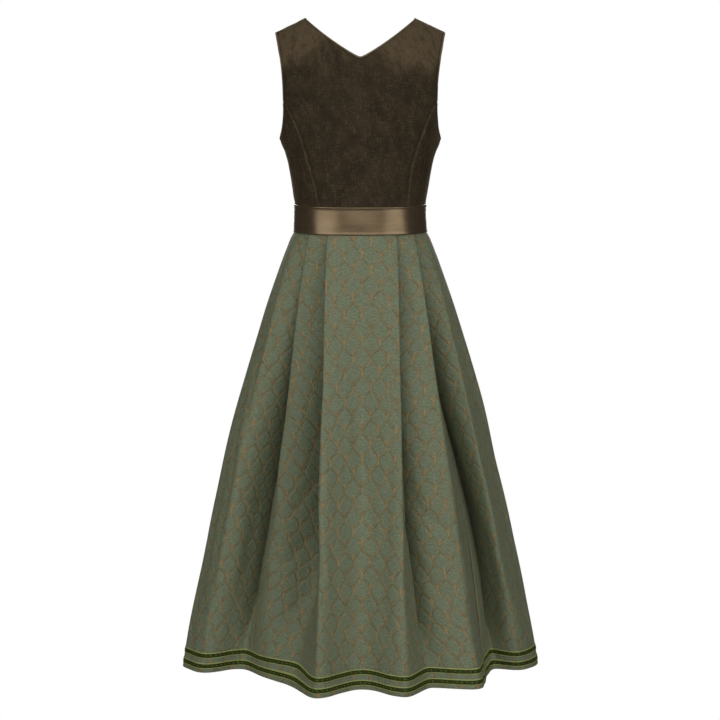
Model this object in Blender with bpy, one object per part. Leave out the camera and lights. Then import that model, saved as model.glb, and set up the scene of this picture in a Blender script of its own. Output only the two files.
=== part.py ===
"""Dirndl dress, sleeveless, in its worn shape without a wearer: a velvet bodice of seven
panels, a satin belt and a pleated skirt of four cloth widths with two ribbons.

Metres. +Z is up, -Y is the back of the dress (shallow V neck), +X is its right in the
back view. The origin is midway between the shoulders, where the wearer carries it.
"""

import math

import bpy
import numpy as np

WALL = 0.0016          # thickness of bodice and skirt cloth
BELT_WALL = 0.0022
RIBBON_WALL = 0.0010
GAP = 0.0003           # between pieces that are sewn together
TUCK = 0.006           # how far bodice and skirt run up behind the belt
BELT_ROOM = 0.0008     # between the belt and the cloth behind it

WAIST_TOP = -0.349     # belt's upper edge
WAIST_LOW = -0.405     # belt's lower edge
HEM = -1.301

# ---------------------------------------------------------------- bodice sections

# Sections of the bodice: half width, and depth behind and in front of the side seam.
# level, half_width, back_depth, front_depth
SECTIONS = (
    (0.060, 0.190, 0.090, 0.080),
    (0.000, 0.189, 0.094, 0.086),
    (-0.050, 0.186, 0.098, 0.094),
    (-0.095, 0.181, 0.100, 0.104),
    (-0.137, 0.1735, 0.101, 0.116),
    (-0.173, 0.1655, 0.1005, 0.126),
    (-0.200, 0.1620, 0.0995, 0.1290),
    (-0.219, 0.1600, 0.0985, 0.1285),
    (-0.250, 0.1490, 0.0965, 0.1240),
    (-0.281, 0.1410, 0.0945, 0.1150),
    (-0.312, 0.1355, 0.0930, 0.1050),
    (-0.349, 0.1302, 0.0925, 0.0965),
    (-0.420, 0.1323, 0.0935, 0.0970),
)
SQUARENESS = 2.25      # exponent of the section, 2 is an ellipse

NECK_POINT = (0.109, 0.0187)       # shoulder seam, inner end: x, level
SHOULDER_TIP = (0.1688, -0.0108)   # shoulder seam, outer end
ROUND_OVER = 0.165                 # height over which the shoulder turns to upright

# Edge of the armhole from shoulder to underarm: level, x on the back, x on the front
ARMHOLE = (
    (-0.0108, 0.1688, 0.1688),
    (-0.0330, 0.1640, 0.1625),
    (-0.0563, 0.1597, 0.1560),
    (-0.0951, 0.1546, 0.1490),
    (-0.1370, 0.1522, 0.1465),
    (-0.1733, 0.1525, 0.1480),
    (-0.2020, 0.1556, 0.1530),
    (-0.2192, 0.1600, 0.1600),
)
UNDERARM = -0.2192

# Shaping seams between centre and side panels: level, x back left, x back right, x front
PRINCESS = (
    (-0.1440, 0.1521, 0.1521, 0.1466),
    (-0.1520, 0.1456, 0.1450, 0.1400),
    (-0.1850, 0.1266, 0.1292, 0.1200),
    (-0.2310, 0.1094, 0.1115, 0.1020),
    (-0.2740, 0.0973, 0.0990, 0.0900),
    (-0.3100, 0.0872, 0.0942, 0.0800),
    (-0.3490, 0.0800, 0.0905, 0.0730),
)
PRINCESS_TOP = -0.1440

BACK_V = -0.0572       # lowest point of the back neckline
FRONT_V = -0.1500
NECK_BOW = 0.0040      # how far each neckline side hangs below a straight line


def table(rows, column, level):
    """A column of a table at any level, through its rows."""
    levels = np.array([row[0] for row in rows])[::-1]
    values = np.array([row[column] for row in rows])[::-1]
    slopes = np.gradient(values, levels)
    level = np.clip(np.asarray(level, float), levels[0], levels[-1])
    k = np.clip(np.searchsorted(levels, level) - 1, 0, len(levels) - 2)
    width = levels[k + 1] - levels[k]
    t = (level - levels[k]) / width
    return (
        (1 + 2 * t) * (1 - t) ** 2 * values[k]
        + t * (1 - t) ** 2 * width * slopes[k]
        + t * t * (3 - 2 * t) * values[k + 1]
        + t * t * (t - 1) * width * slopes[k + 1]
    )


def shoulder_level(x):
    (x0, z0), (x1, z1) = NECK_POINT, SHOULDER_TIP
    return z0 + (z1 - z0) * (np.abs(x) - x0) / (x1 - x0)


def round_over(x, z):
    """How far the cloth has turned down from the shoulder seam (0) to upright (1)."""
    fall = np.clip((shoulder_level(x) - z) / ROUND_OVER, 0, 1)
    return np.sqrt(np.clip(1 - (1 - fall) ** 2, 0, 1))


def bodice_depth(x, z, side):
    """Distance behind (side -1) or in front of (side +1) the side seam's plane."""
    half = table(SECTIONS, 1, z)
    deep = table(SECTIONS, 2 if side < 0 else 3, z)
    out = np.clip(1 - np.clip(np.abs(x) / half, 0, 1) ** SQUARENESS, 0, 1)
    return side * deep * out ** (1 / SQUARENESS) * round_over(x, z)


def waist_ring(angle, z, grow=0.0):
    """A point of the closed ring at level z. Angle 0 is the back, +90 degrees is +X."""
    half = table(SECTIONS, 1, z) + grow
    back = table(SECTIONS, 2, z) + grow
    front = table(SECTIONS, 3, z) + grow
    s, c = np.sin(angle), np.cos(angle)
    power = 2 / SQUARENESS
    deep = np.where(c > 0, back, front)
    return half * np.sign(s) * np.abs(s) ** power, -deep * np.sign(c) * np.abs(c) ** power


# ---------------------------------------------------------------- skirt folds

# Fold edges of the skirt, in order round it from the middle of the back by way of +X.
# Each edge runs from the belt to the hem. waist_x places it on the waist ring; side is
# -1 at the back; hem_x, hem_y is its place at the hem; bell_x, bell_y say how much it
# swells outward on the way; roll is how much cloth rolls over the edge by the hem.
# name, waist_x, side, hem_x, hem_y, bell_x, bell_y, roll
EDGES = (
    ("back_right_1", 0.0715, -1, 0.0950, -0.2425, 0.05, 0.35, 0.026),
    ("back_right_2", 0.1055, -1, 0.2440, -0.1835, 0.02, 0.25, 0.008),
    ("back_right_3", 0.1270, -1, 0.3370, -0.0380, 0.18, 0.30, 0.000),
    ("side_right", 0.1327, 1, 0.3765, 0.0290, 0.36, 0.30, 0.000),
    ("front_right_3", 0.1260, 1, 0.3200, 0.0980, 0.25, 0.30, 0.000),
    ("front_right_2", 0.1020, 1, 0.2250, 0.1680, 0.08, 0.25, -0.008),
    ("front_right_1", 0.0680, 1, 0.0900, 0.2420, 0.00, 0.35, -0.022),
    ("front_left_1", -0.0690, 1, -0.0820, 0.2460, 0.00, 0.35, 0.022),
    ("front_left_2", -0.1010, 1, -0.2150, 0.1520, 0.08, 0.25, 0.008),
    ("front_left_3", -0.1250, 1, -0.3250, 0.0880, 0.25, 0.30, 0.000),
    ("side_left", -0.1327, 1, -0.3760, 0.0080, 0.36, 0.30, 0.000),
    ("back_left_3", -0.1245, -1, -0.3290, -0.0630, 0.30, 0.30, 0.000),
    ("back_left_2", -0.1010, -1, -0.2110, -0.0660, 0.22, 0.30, -0.008),
    ("back_left_1", -0.0645, -1, -0.0930, -0.2530, 0.12, 0.35, -0.026),
)
# The trough after each edge: where it lies at the hem, which edge covers it at the
# belt (-1 the edge before it, +1 the edge after it, 0 neither), how many folds lie over
# it there, how far its cloth is tucked under at the belt, and how much further in the
# trough lies half way down.
# name, hem_x, hem_y, under, rank, tucked, belly
TROUGHS = (
    ("back_right_12", 0.1420, -0.1590, -1, 0, 0.058, 0.000),
    ("back_right_23", 0.2720, -0.0170, -1, 1, 0.040, 0.036),
    ("right_back", 0.3560, -0.0150, 0, 0, 0.0, 0.0),
    ("right_front", 0.3330, 0.0620, 0, 0, 0.0, 0.0),
    ("front_right_32", 0.2580, 0.0960, 1, 1, 0.040, 0.0),
    ("front_right_21", 0.1500, 0.1620, 1, 0, 0.055, 0.0),
    ("front_middle", 0.0020, 0.1900, 0, 0, 0.0, 0.0),
    ("front_left_12", -0.1380, 0.1670, -1, 0, 0.055, 0.0),
    ("front_left_23", -0.2450, 0.0740, -1, 1, 0.040, 0.0),
    ("left_front", -0.3400, 0.0460, 0, 0, 0.0, 0.0),
    ("left_back", -0.3500, -0.0350, 0, 0, 0.0, 0.0),
    ("back_left_32", -0.2450, -0.0190, 1, 1, 0.040, 0.012),
    ("back_left_21", -0.1400, -0.1540, 1, 0, 0.058, 0.065),
    ("back_middle", 0.0030, -0.1770, 0, 0, 0.0, 0.0),
)
# Half way down, how much further out a fold's edge stands than between belt and hem
FULLER = {"back_right_3": 0.046, "front_right_3": 0.010, "front_left_3": 0.012}
# How far the open side of a trough bows out half way down, and where its crest lies:
# below 1 near the trough, above 1 near the next edge
BOWS = {
    "back_right_12": (0.021, 0.62),
    "back_right_23": (0.015, 1.00),
    "front_right_32": (0.010, 1.30),
    "front_right_21": (0.014, 0.80),
    "front_left_12": (0.013, 1.20),
    "front_left_23": (0.012, 0.90),
    "back_left_32": (0.011, 1.60),
    "back_left_21": (0.013, 1.60),
}
# The skirt springs out just below the belt and falls straighter lower down
# height fraction, share added to its breadth
SPRING = (
    (0.0, 0.0), (0.015, 0.020), (0.06, 0.026), (0.16, 0.024), (0.24, 0.014), (0.34, 0.005),
    (0.45, 0.0), (0.58, -0.005), (0.70, -0.012), (0.85, -0.013), (1.0, -0.009),
)
LAYER = 0.0032         # between the layers of a pleat at the belt
LOOSE = 0.75           # height fraction by which the pleats hang freely
SOFT_WAIST = 0.0014    # rounding of the folds at the belt and at the hem
SOFT_HEM = 0.0170
PER_LEG = 48           # steps of the working curve between two corners


def ease(t):
    t = min(1.0, max(0.0, t))
    return t * t * (3 - 2 * t)


def bell(u, swell):
    return u + swell * u * (1 - u)


def apex(p, q, first, second):
    """The corner between two legs from p and q, on the inner side of p to q."""
    span = float(np.hypot(*(q - p)))
    if span >= first + second:
        return p + (q - p) * first / (first + second)
    along = (span**2 + first**2 - second**2) / (2 * span)
    along = max(-first, min(first, along))
    rise = math.sqrt(max(0.0, first**2 - along**2))
    d = (q - p) / span
    return p + d * along + np.array([-d[1], d[0]]) * rise


class Ring:
    """The waist ring by its length, from the middle of the back by way of +X."""

    def __init__(self, level):
        angle = np.linspace(0, 2 * math.pi, 1441)
        x, y = waist_ring(angle, level)
        self.points = np.stack([x, y], 1)
        steps = np.hypot(*np.diff(self.points, axis=0).T)
        self.length = np.concatenate([[0], np.cumsum(steps)])
        self.total = float(self.length[-1])

    def of_x(self, x, side):
        """Length at which the ring has this x, at the back (-1) or the front (+1)."""
        half = len(self.points) // 2
        quarter = half // 2
        right = slice(0, quarter + 1) if side < 0 else slice(quarter, half + 1)
        xs, ls = self.points[right, 0], self.length[right]
        order = np.argsort(xs)
        found = float(np.interp(abs(x), xs[order], ls[order]))
        return found if x >= 0 else self.total - found

    def at(self, length, depth):
        length = np.mod(length, self.total)
        p = np.stack([np.interp(length, self.length, self.points[:, i]) for i in (0, 1)], -1)
        a = np.stack([np.interp(np.mod(length + 1e-3, self.total), self.length, self.points[:, i]) for i in (0, 1)], -1)
        b = np.stack([np.interp(np.mod(length - 1e-3, self.total), self.length, self.points[:, i]) for i in (0, 1)], -1)
        d = a - b
        d = d / np.linalg.norm(d, axis=-1, keepdims=True)
        inward = np.stack([-d[..., 1], d[..., 0]], -1)
        return p + inward * np.asarray(depth)[..., None]


class Skirt:
    """The skirt's middle surface. Corners are its fold edges and troughs in turn; a
    place round the skirt is a corner's number plus the part of the way to the next."""

    def __init__(self):
        n = self.n = len(EDGES)
        self.ring = Ring(WAIST_LOW)
        hem = []
        for edge, trough in zip(EDGES, TROUGHS):
            hem += [np.array(edge[3:5]), np.array(trough[1:3])]
        steps = [float(np.hypot(*(hem[(i + 1) % (2 * n)] - hem[i]))) for i in range(2 * n)]
        self.hem = np.array(hem)
        self.at_hem = np.concatenate([[0.0], np.cumsum(steps)])
        self.around = float(self.at_hem[-1])
        self.at_waist = self.at_hem.copy()
        for k in range(n):
            self.at_waist[2 * k] -= EDGES[k][7]
        self.at_waist[2 * n] = self.at_waist[0] + self.around
        self.where = [self.ring.of_x(e[1], e[2]) for e in EDGES]
        for k in range(n):
            a, b = self.at_waist[2 * k], self.at_waist[2 * k + 2]
            span = self.where[(k + 1) % n] - self.where[k]
            span = span if span > 0 else span + self.ring.total
            tuck = max(0.0, (b - a - span) / 2)
            under = TROUGHS[k][3]
            self.at_waist[2 * k + 1] = (
                (a + b) / 2 if under == 0 else (a + tuck if under < 0 else b - tuck)
            )
        self.first = self.curve_at_belt() - self.corner_curve(0.0)

    def cloth(self, u):
        """Cloth coordinate of each corner at height fraction u (0 belt, 1 hem)."""
        return self.at_waist + (self.at_hem - self.at_waist) * min(1.0, max(0.0, u)) ** 0.8

    def corners(self, u):
        s = self.cloth(u)
        edges = []
        for k, (name, x, side, hx, hy, bx, by, _) in enumerate(EDGES):
            w = self.ring.at(self.where[k], 0.0)
            out = side * FULLER.get(name, 0.0) * 6.75 * u * u * (1 - u)
            edges.append(np.array([w[0] + (hx - w[0]) * bell(u, bx), w[1] + (hy - w[1]) * bell(u, by) + out]))
        found = []
        for k, (_, hx, hy, under, _, tucked, belly) in enumerate(TROUGHS):
            p, q = edges[k], edges[(k + 1) % self.n]
            found.append(p)
            if under == 0:
                w = self.ring.at(self.where[k] + self.span(k) / 2, 0.0)
                way = bell(u, 0.30)
                found.append(w + (np.array([hx, hy]) - w) * way)
                continue
            first, second = s[2 * k + 1] - s[2 * k], s[2 * k + 2] - s[2 * k + 1]
            short = max(0.0, min(first, second) - tucked) * (1 - ease(u / LOOSE))
            first, second = first - short, second - short
            span = float(np.hypot(*(q - p)))
            least = 0.022 + 0.01 * u
            if under < 0:
                second = min(second, span + first - 0.5 * least**2 / max(first, 0.01))
            else:
                first = min(first, span + second - 0.5 * least**2 / max(second, 0.01))
            further = belly * 6.75 * u * u * (1 - u)
            found.append(apex(p, q, first, second) + np.array([0, -EDGES[k][2] * further]))
        return np.array(found)

    def corner_curve(self, u):
        """The working curve with sharp corners: PER_LEG steps for each leg."""
        c = self.corners(u)
        t = np.arange(PER_LEG)[:, None] / PER_LEG
        legs = []
        for i in range(len(c)):
            p, q = c[i], c[(i + 1) % len(c)]
            line = p + (q - p) * t
            if TROUGHS[i // 2][3] == 0:
                # A panel with no fold beside it dips softly, with no crease in it.
                wide = c[(i - i % 2 + 2) % len(c)] - c[i - i % 2]
                wide = wide / np.hypot(*wide)
                across = np.array([-wide[1], wide[0]])
                line = line - across * ((q - p) @ across) * np.sin(2 * math.pi * t) / 13
            elif (TROUGHS[i // 2][3] > 0) == (i % 2 == 0):
                # The open side of a trough bows out, most in the middle of its height.
                bow, crest = BOWS[TROUGHS[i // 2][0]]
                along = (q - p) / np.hypot(*(q - p))
                out = np.array([along[1], -along[0]])
                rise = ease((u - 0.12) / 0.30) * (1 - 0.70 * ease((u - 0.70) / 0.30))
                from_trough = 1 - t if i % 2 == 0 else t
                line = line + out * bow * rise * np.sin(math.pi * from_trough**crest)
            legs.append(line)
        return np.concatenate(legs)

    def span(self, k):
        """Visible length at the belt between edge k and the next one."""
        k = k % self.n
        return (self.where[(k + 1) % self.n] - self.where[k]) % self.ring.total

    def curve_at_belt(self):
        """The pleats as they are laid on the waist ring, layer under layer."""
        legs = []
        t = np.arange(PER_LEG) / PER_LEG
        for k, (_, _, _, under, rank, tucked, _) in enumerate(TROUGHS):
            full = self.span(k)
            a = self.where[k]
            if under == 0:
                legs.append(self.ring.at(a + full / 2 * t, 0 * t))
                legs.append(self.ring.at(a + full / 2 * (1 + t), 0 * t))
                continue
            # Distance behind the covering edge: over it from 0 to tucked, and back.
            slope = 2 * LAYER / self.span(k - 1 if under < 0 else k + 1)
            over = tucked * t
            out = full - (full + tucked) * (1 - t)

            def deep(behind, layer):
                lean = np.minimum(behind * slope, 2 * LAYER * rank) if rank else 0 * behind
                return LAYER * (1 - np.exp(-behind / 0.004)) * (layer == 1) + 2 * LAYER * (layer == 2) + lean

            def low(out):
                return np.where(out < 0, deep(np.clip(-out, 0, None), 2), 2 * LAYER * (1 - out / full))

            if under < 0:
                legs.append(self.ring.at(a - over, deep(over, 1)))
                legs.append(self.ring.at(a + out, low(out)))
            else:
                b, out = a + full, full - (full + tucked) * t
                legs.append(self.ring.at(b - out, low(out)))
                legs.append(self.ring.at(b + tucked * (1 - t), deep(tucked * (1 - t), 1)))
        return np.concatenate(legs)

    def plan(self, u, places, shift=0.0):
        """Plan position of places round the skirt at height fraction u, and the cloth
        coordinate of each, shifted along the cloth."""
        curve = self.corner_curve(u) + self.first * (1 - ease(u / LOOSE))
        s = self.cloth(u)
        steps = np.arange(PER_LEG) / PER_LEG
        coordinate = np.concatenate([s[i] + (s[i + 1] - s[i]) * steps for i in range(2 * self.n)])
        count = 4096
        even = s[0] + self.around * np.arange(count) / count
        line = np.stack(
            [np.interp(even, np.append(coordinate, s[0] + self.around), np.append(curve[:, i], curve[0, i])) for i in (0, 1)], 1
        )
        soft = SOFT_WAIST + (SOFT_HEM - SOFT_WAIST) * max(0.0, u) ** 0.9
        wave = np.fft.rfftfreq(count, self.around / count)
        line = np.fft.irfft(
            np.fft.rfft(line, axis=0) * np.exp(-2 * (math.pi * soft * wave) ** 2)[:, None], count, axis=0
        )
        places = np.asarray(places, float)
        k = np.floor(places).astype(int)
        part = places - k
        turn, k = np.divmod(k, 2 * self.n)
        want = s[k] + (s[k + 1] - s[k]) * part + shift
        at = np.mod(want - s[0], self.around)
        ends = np.append(even - s[0], self.around)
        xy = np.stack([np.interp(at, ends, np.append(line[:, i], line[0, i])) for i in (0, 1)], -1)
        xy[..., 0] *= 1 + np.interp(u, *zip(*SPRING))
        return xy, want + turn * self.around


# ---------------------------------------------------------------- solids

# Cloths: base colour, roughness
CLOTHS = {
    "velvet": ((0.045, 0.034, 0.022), 0.85),
    "satin": ((0.150, 0.105, 0.055), 0.35),
    "jacquard": ((0.105, 0.125, 0.090), 0.70),
    "ribbon": ((0.022, 0.036, 0.006), 0.75),
}
# The cloth of each piece, by the start of its name
CLOTH_OF = {"bodice": "velvet", "belt": "satin", "skirt": "jacquard", "ribbon": "ribbon"}


def cloth_material(name):
    """The material of the cloth that this piece is cut from."""
    cloth = CLOTH_OF[name.split("_")[0]]
    found = bpy.data.materials.get(cloth)
    if found:
        return found
    colour, rough = CLOTHS[cloth]
    made = bpy.data.materials.new(cloth)
    made.use_nodes = True
    shader = made.node_tree.nodes["Principled BSDF"]
    shader.inputs["Base Color"].default_value = (*colour, 1.0)
    shader.inputs["Roughness"].default_value = rough
    shader.inputs["Metallic"].default_value = 0.0
    made.diffuse_color = (*colour, 1.0)
    return made


def solid(name, outer, inner, closed=False):
    """A closed wall between two grids of points, rows by columns. Rows run upward and
    columns run anticlockwise seen from above; closed joins the last column to the first."""
    rows, columns = outer.shape[:2]
    points = np.concatenate([outer.reshape(-1, 3), inner.reshape(-1, 3)])
    half = rows * columns
    reach = columns if closed else columns - 1
    faces = []

    def at(r, c, layer):
        return layer * half + r * columns + c % columns

    def quad(a, b, c, d):
        faces.append((a, b, c))
        faces.append((a, c, d))

    for r in range(rows - 1):
        for c in range(reach):
            quad(at(r, c, 0), at(r, c + 1, 0), at(r + 1, c + 1, 0), at(r + 1, c, 0))
            quad(at(r, c, 1), at(r + 1, c, 1), at(r + 1, c + 1, 1), at(r, c + 1, 1))
    for c in range(reach):
        quad(at(0, c, 0), at(0, c, 1), at(0, c + 1, 1), at(0, c + 1, 0))
        top = rows - 1
        quad(at(top, c, 0), at(top, c + 1, 0), at(top, c + 1, 1), at(top, c, 1))
    if not closed:
        for r in range(rows - 1):
            last = columns - 1
            quad(at(r, 0, 0), at(r + 1, 0, 0), at(r + 1, 0, 1), at(r, 0, 1))
            quad(at(r, last, 0), at(r, last, 1), at(r + 1, last, 1), at(r + 1, last, 0))
    mesh = bpy.data.meshes.new(name)
    mesh.from_pydata([tuple(map(float, p)) for p in points], [], faces)
    mesh.validate()
    mesh.update()
    mesh.materials.append(cloth_material(name))
    piece = bpy.data.objects.new(name, mesh)
    bpy.context.scene.collection.objects.link(piece)
    piece.parent = bpy.data.objects["dress"]


def unit(v):
    return v / np.maximum(np.linalg.norm(v, axis=-1, keepdims=True), 1e-12)


def wall_of(name, surface, columns, rows, wall):
    """A panel's solid. surface(u, v) gives points; its edges stop half a seam short."""
    u, v = np.meshgrid(columns, rows)
    e = 1e-3
    across = surface(np.minimum(u + e, 1), v) - surface(np.maximum(u - e, 0), v)
    upward = surface(u, np.minimum(v + e, 1)) - surface(u, np.maximum(v - e, 0))
    out = unit(np.cross(across, upward))
    middle = surface(u, v)
    middle[0] += unit(middle[1] - middle[0]) * GAP / 2
    middle[-1] += unit(middle[-2] - middle[-1]) * GAP / 2
    middle[:, 0] += unit(middle[:, 1] - middle[:, 0]) * GAP / 2
    middle[:, -1] += unit(middle[:, -2] - middle[:, -1]) * GAP / 2
    solid(name, middle + out * wall / 2, middle - out * wall / 2)


def patch(bottom, top, left, right):
    """A surface patch between four edge curves, each a function of 0 to 1."""

    def point(u, v):
        u, v = np.asarray(u, float)[..., None], np.asarray(v, float)[..., None]
        low, high = bottom(u[..., 0]), top(u[..., 0])
        west, east = left(v[..., 0]), right(v[..., 0])
        zero, one = np.zeros(1), np.ones(1)
        corners = (
            (1 - u) * (1 - v) * bottom(zero)
            + u * (1 - v) * bottom(one)
            + (1 - u) * v * top(zero)
            + u * v * top(one)
        )
        return (1 - v) * low + v * high + (1 - u) * west + u * east - corners

    return point


def through(knots, values):
    """A broken line through values (knots by columns) as a function of the knots."""
    values = np.array(values, float)

    def at(t):
        return np.stack([np.interp(t, knots, values[:, i]) for i in range(values.shape[1])], -1)

    return at


FOOT = WAIST_TOP - TUCK


def seam_x(z, side, sign):
    column = 3 if side > 0 else (1 if sign < 0 else 2)
    return table(PRINCESS, column, np.maximum(z, PRINCESS[-1][0]))


def arm_x(z, side):
    return table(ARMHOLE, 2 if side > 0 else 1, z)


def outer_edge(side, sign):
    """Edge of a centre panel from the belt up: shaping seam, then armhole."""

    def at(v):
        z = FOOT + (SHOULDER_TIP[1] - FOOT) * v
        x = np.where(z < PRINCESS_TOP, seam_x(z, side, sign), arm_x(z, side))
        return np.stack([sign * x, z], -1)

    return at


def neckline(low, count=6):
    """From the lowest point to the neck point: x and level, bowed a little downward."""
    t = np.linspace(0, 1, count)
    x = NECK_POINT[0] * t
    z = low + (NECK_POINT[1] - low) * t - NECK_BOW * 4 * t * (1 - t)
    return np.stack([x, z], -1)


def centre_back():
    side = neckline(BACK_V)
    shoulder = np.array([SHOULDER_TIP])
    right = np.concatenate([side, shoulder])
    left = right[::-1] * np.array([-1, 1])
    values = np.concatenate([left[:-1], right])
    steps = np.concatenate([[0], np.cumsum(np.hypot(*np.diff(values, axis=0).T))])
    top = through(steps / steps[-1], values)
    ends = outer_edge(-1, -1)(np.zeros(1))[0], outer_edge(-1, 1)(np.zeros(1))[0]
    flat = patch(through([0, 1], ends), top, outer_edge(-1, -1), outer_edge(-1, 1))
    knots = steps / steps[-1]

    def surface(u, v):
        p = flat(u, v)
        return np.stack([p[..., 0], bodice_depth(p[..., 0], p[..., 1], -1), p[..., 1]], -1)

    columns = np.concatenate([[0, knots[1] / 2], knots[1:-1], [(1 + knots[-2]) / 2, 1]])
    return surface, columns


def centre_front(sign):
    line = neckline(FRONT_V, 7)
    values = np.concatenate([line, [SHOULDER_TIP]]) * np.array([sign, 1])
    steps = np.concatenate([[0], np.cumsum(np.hypot(*np.diff(values, axis=0).T))])
    knots = steps / steps[-1]
    foot = outer_edge(1, sign)(np.zeros(1))[0]
    flat = patch(
        through([0, 1], [(0, FOOT), foot]),
        through(knots, values),
        through([0, 1], [(0, FOOT), (0, FRONT_V)]),
        outer_edge(1, sign),
    )

    def surface(u, v):
        # Columns run anticlockwise from above, so the panel on +X is read backward.
        p = flat(1 - u if sign > 0 else u, v)
        return np.stack([p[..., 0], bodice_depth(p[..., 0], p[..., 1], 1), p[..., 1]], -1)

    columns = np.concatenate([knots[:-1], [(1 + knots[-2]) / 2, 1]])
    return surface, (1 - columns[::-1] if sign > 0 else columns)


def side_panel(side, sign):
    def turn(x, z):
        return np.arcsin(np.clip(x / table(SECTIONS, 1, z), 0, 1) ** (SQUARENESS / 2))

    def seam(v):
        z = FOOT + (PRINCESS_TOP - FOOT) * v
        return np.stack([turn(seam_x(z, side, sign), z), z], -1)

    def arm(u):
        z = PRINCESS_TOP + (UNDERARM - PRINCESS_TOP) * u**1.4
        return np.stack([np.where(u >= 1, math.pi / 2, turn(arm_x(z, side), z)), z], -1)

    corner = seam(np.zeros(1))[0]
    edge = math.pi / 2
    flat = patch(
        through([0, 1], [corner, (edge, FOOT)]),
        arm,
        seam,
        through([0, 1], [(edge, FOOT), (edge, UNDERARM)]),
    )
    onward = (sign > 0) == (side < 0)

    def surface(u, v):
        p = flat(u if onward else 1 - u, v)
        z = p[..., 1]
        x = table(SECTIONS, 1, z) * np.sin(p[..., 0]) ** (2 / SQUARENESS)
        deep = table(SECTIONS, 2 if side < 0 else 3, z) * round_over(x, z)
        y = side * deep * np.abs(np.cos(p[..., 0])) ** (2 / SQUARENESS)
        return np.stack([sign * x, y, z], -1)

    return surface, np.linspace(0, 1, 8)


def bodice():
    # A centre panel's rows meet those of the side panel as far as the armhole.
    meet = (PRINCESS_TOP - FOOT) / (SHOULDER_TIP[1] - FOOT)
    few = np.linspace(0, 1, 7)
    above = 1 - (1 - np.linspace(0, 1, 6)) ** 1.6
    rows = np.concatenate([meet * few[:-1], meet + (1 - meet) * above])
    surface, columns = centre_back()
    wall_of("bodice_back_centre", surface, columns, rows, WALL)
    for sign, word in ((-1, "left"), (1, "right")):
        surface, columns = centre_front(sign)
        wall_of(f"bodice_front_centre_{word}", surface, columns, rows, WALL)
        surface, columns = side_panel(-1, sign)
        wall_of(f"bodice_back_side_{word}", surface, columns, few, WALL)
        surface, columns = side_panel(1, sign)
        wall_of(f"bodice_front_side_{word}", surface, columns, few, WALL)


# The belt laps over itself at the front: turn in degrees from the middle of the back,
# and how far the band is lifted there off its own start.
BELT_START = -170.0
BELT_END = 206.0
# turn, lift
BELT_LIFT = ((160.0, 0.0), (178.0, BELT_WALL + GAP), (206.0, BELT_WALL + GAP))


def belt():
    turn = np.concatenate([np.linspace(BELT_START, 158, 50), np.linspace(162, BELT_END, 9)])
    lift = np.interp(turn, [r[0] for r in BELT_LIFT], [r[1] for r in BELT_LIFT])
    levels = np.array([WAIST_LOW, WAIST_TOP])
    clear = WALL / 2 + BELT_ROOM
    grids = []
    for extra in (clear + BELT_WALL, clear):
        rows = []
        for z in levels:
            x, y = waist_ring(np.radians(turn), z, 0.0)
            ahead = waist_ring(np.radians(turn + 0.5), z, 0.0)
            behind = waist_ring(np.radians(turn - 0.5), z, 0.0)
            d = unit(np.stack([ahead[0] - behind[0], ahead[1] - behind[1]], -1))
            out = np.stack([d[:, 1], -d[:, 0]], -1)
            xy = np.stack([x, y], -1) + out * (extra + lift)[:, None]
            rows.append(np.column_stack([xy, np.full(len(turn), z)]))
        grids.append(np.array(rows))
    solid("belt", grids[0], grids[1])


SKIRT_WALL = 0.0012
# The four cloth widths. Each seam lies in the cloth tucked under a fold, halfway
# between its edge and the trough. name, first place, last place
WIDTHS = (
    ("skirt_back", 23.5, 30.5),
    ("skirt_side_right", 2.5, 9.5),
    ("skirt_front", 9.5, 16.5),
    ("skirt_side_left", 16.5, 23.5),
)
# The ribbons: name, lower and upper edge above the hem
RIBBONS = (("ribbon_lower", 0.0080, 0.0195), ("ribbon_upper", 0.0295, 0.0410))
DROP = WAIST_LOW - HEM
# Heights of the rows of the skirt's solids, as fractions from belt to hem. The last
# rows are the ribbons' edges, so that each ribbon is made from the cloth's own points.
SKIRT_ROWS = (0.0, 0.03, 0.08, 0.17, 0.32, 0.54, 0.77) + tuple(
    1 - edge / DROP for edge in (0.0410, 0.0295, 0.0195, 0.0080, 0.0)
)


def places_round(corners):
    """Places all round the skirt, close together at the corners that are folded."""
    found = []
    for k in range(corners):
        folded, next_folded = k % 2 == 0 or TROUGHS[k // 2][3], k % 2 or TROUGHS[k // 2][3]
        found += [k] + [k + 0.13] * bool(folded) + [k + 0.5] + [k + 0.87] * bool(next_folded)
    return np.array(found, float)


def halfway(before, here, after):
    """The direction that turns evenly between the one arriving and the one leaving."""
    return unit(unit(here - before) + unit(after - here))


def skirt_grid(form, places):
    """Middle points of the skirt and its outward normals, rows from hem to belt."""
    middle = []
    for u in reversed(SKIRT_ROWS):
        here, _ = form.plan(u, places)
        middle.append(np.column_stack([here, np.full(len(places), WAIST_LOW - DROP * u)]))
    middle = np.array(middle)
    along = halfway(np.roll(middle, 1, axis=1), middle, np.roll(middle, -1, axis=1))
    lower = np.concatenate([2 * middle[:1] - middle[1:2], middle[:-1]])
    upper = np.concatenate([middle[1:], 2 * middle[-1:] - middle[-2:-1]])
    rise = halfway(lower, middle, upper)
    normal = unit(np.cross(along, rise))
    # Where the cloth doubles back, outward is off the end of an edge, and back along
    # the layers in a trough.
    arrive = unit(middle - np.roll(middle, 1, axis=1))
    leave = unit(np.roll(middle, -1, axis=1) - middle)
    end = arrive - leave
    trough = np.round(places).astype(int) % 2 == 1
    wrong = ((normal * end).sum(-1) < 0) != trough[None, :]
    normal[((arrive * leave).sum(-1) < 0) & wrong] *= -1
    flat = normal[-1].copy()
    flat[:, 2] = 0
    normal[-1] = unit(flat)
    lifted = middle[-1:] + np.array([0, 0, TUCK])
    return np.concatenate([middle, lifted]), np.concatenate([normal, normal[-1:]])


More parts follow.
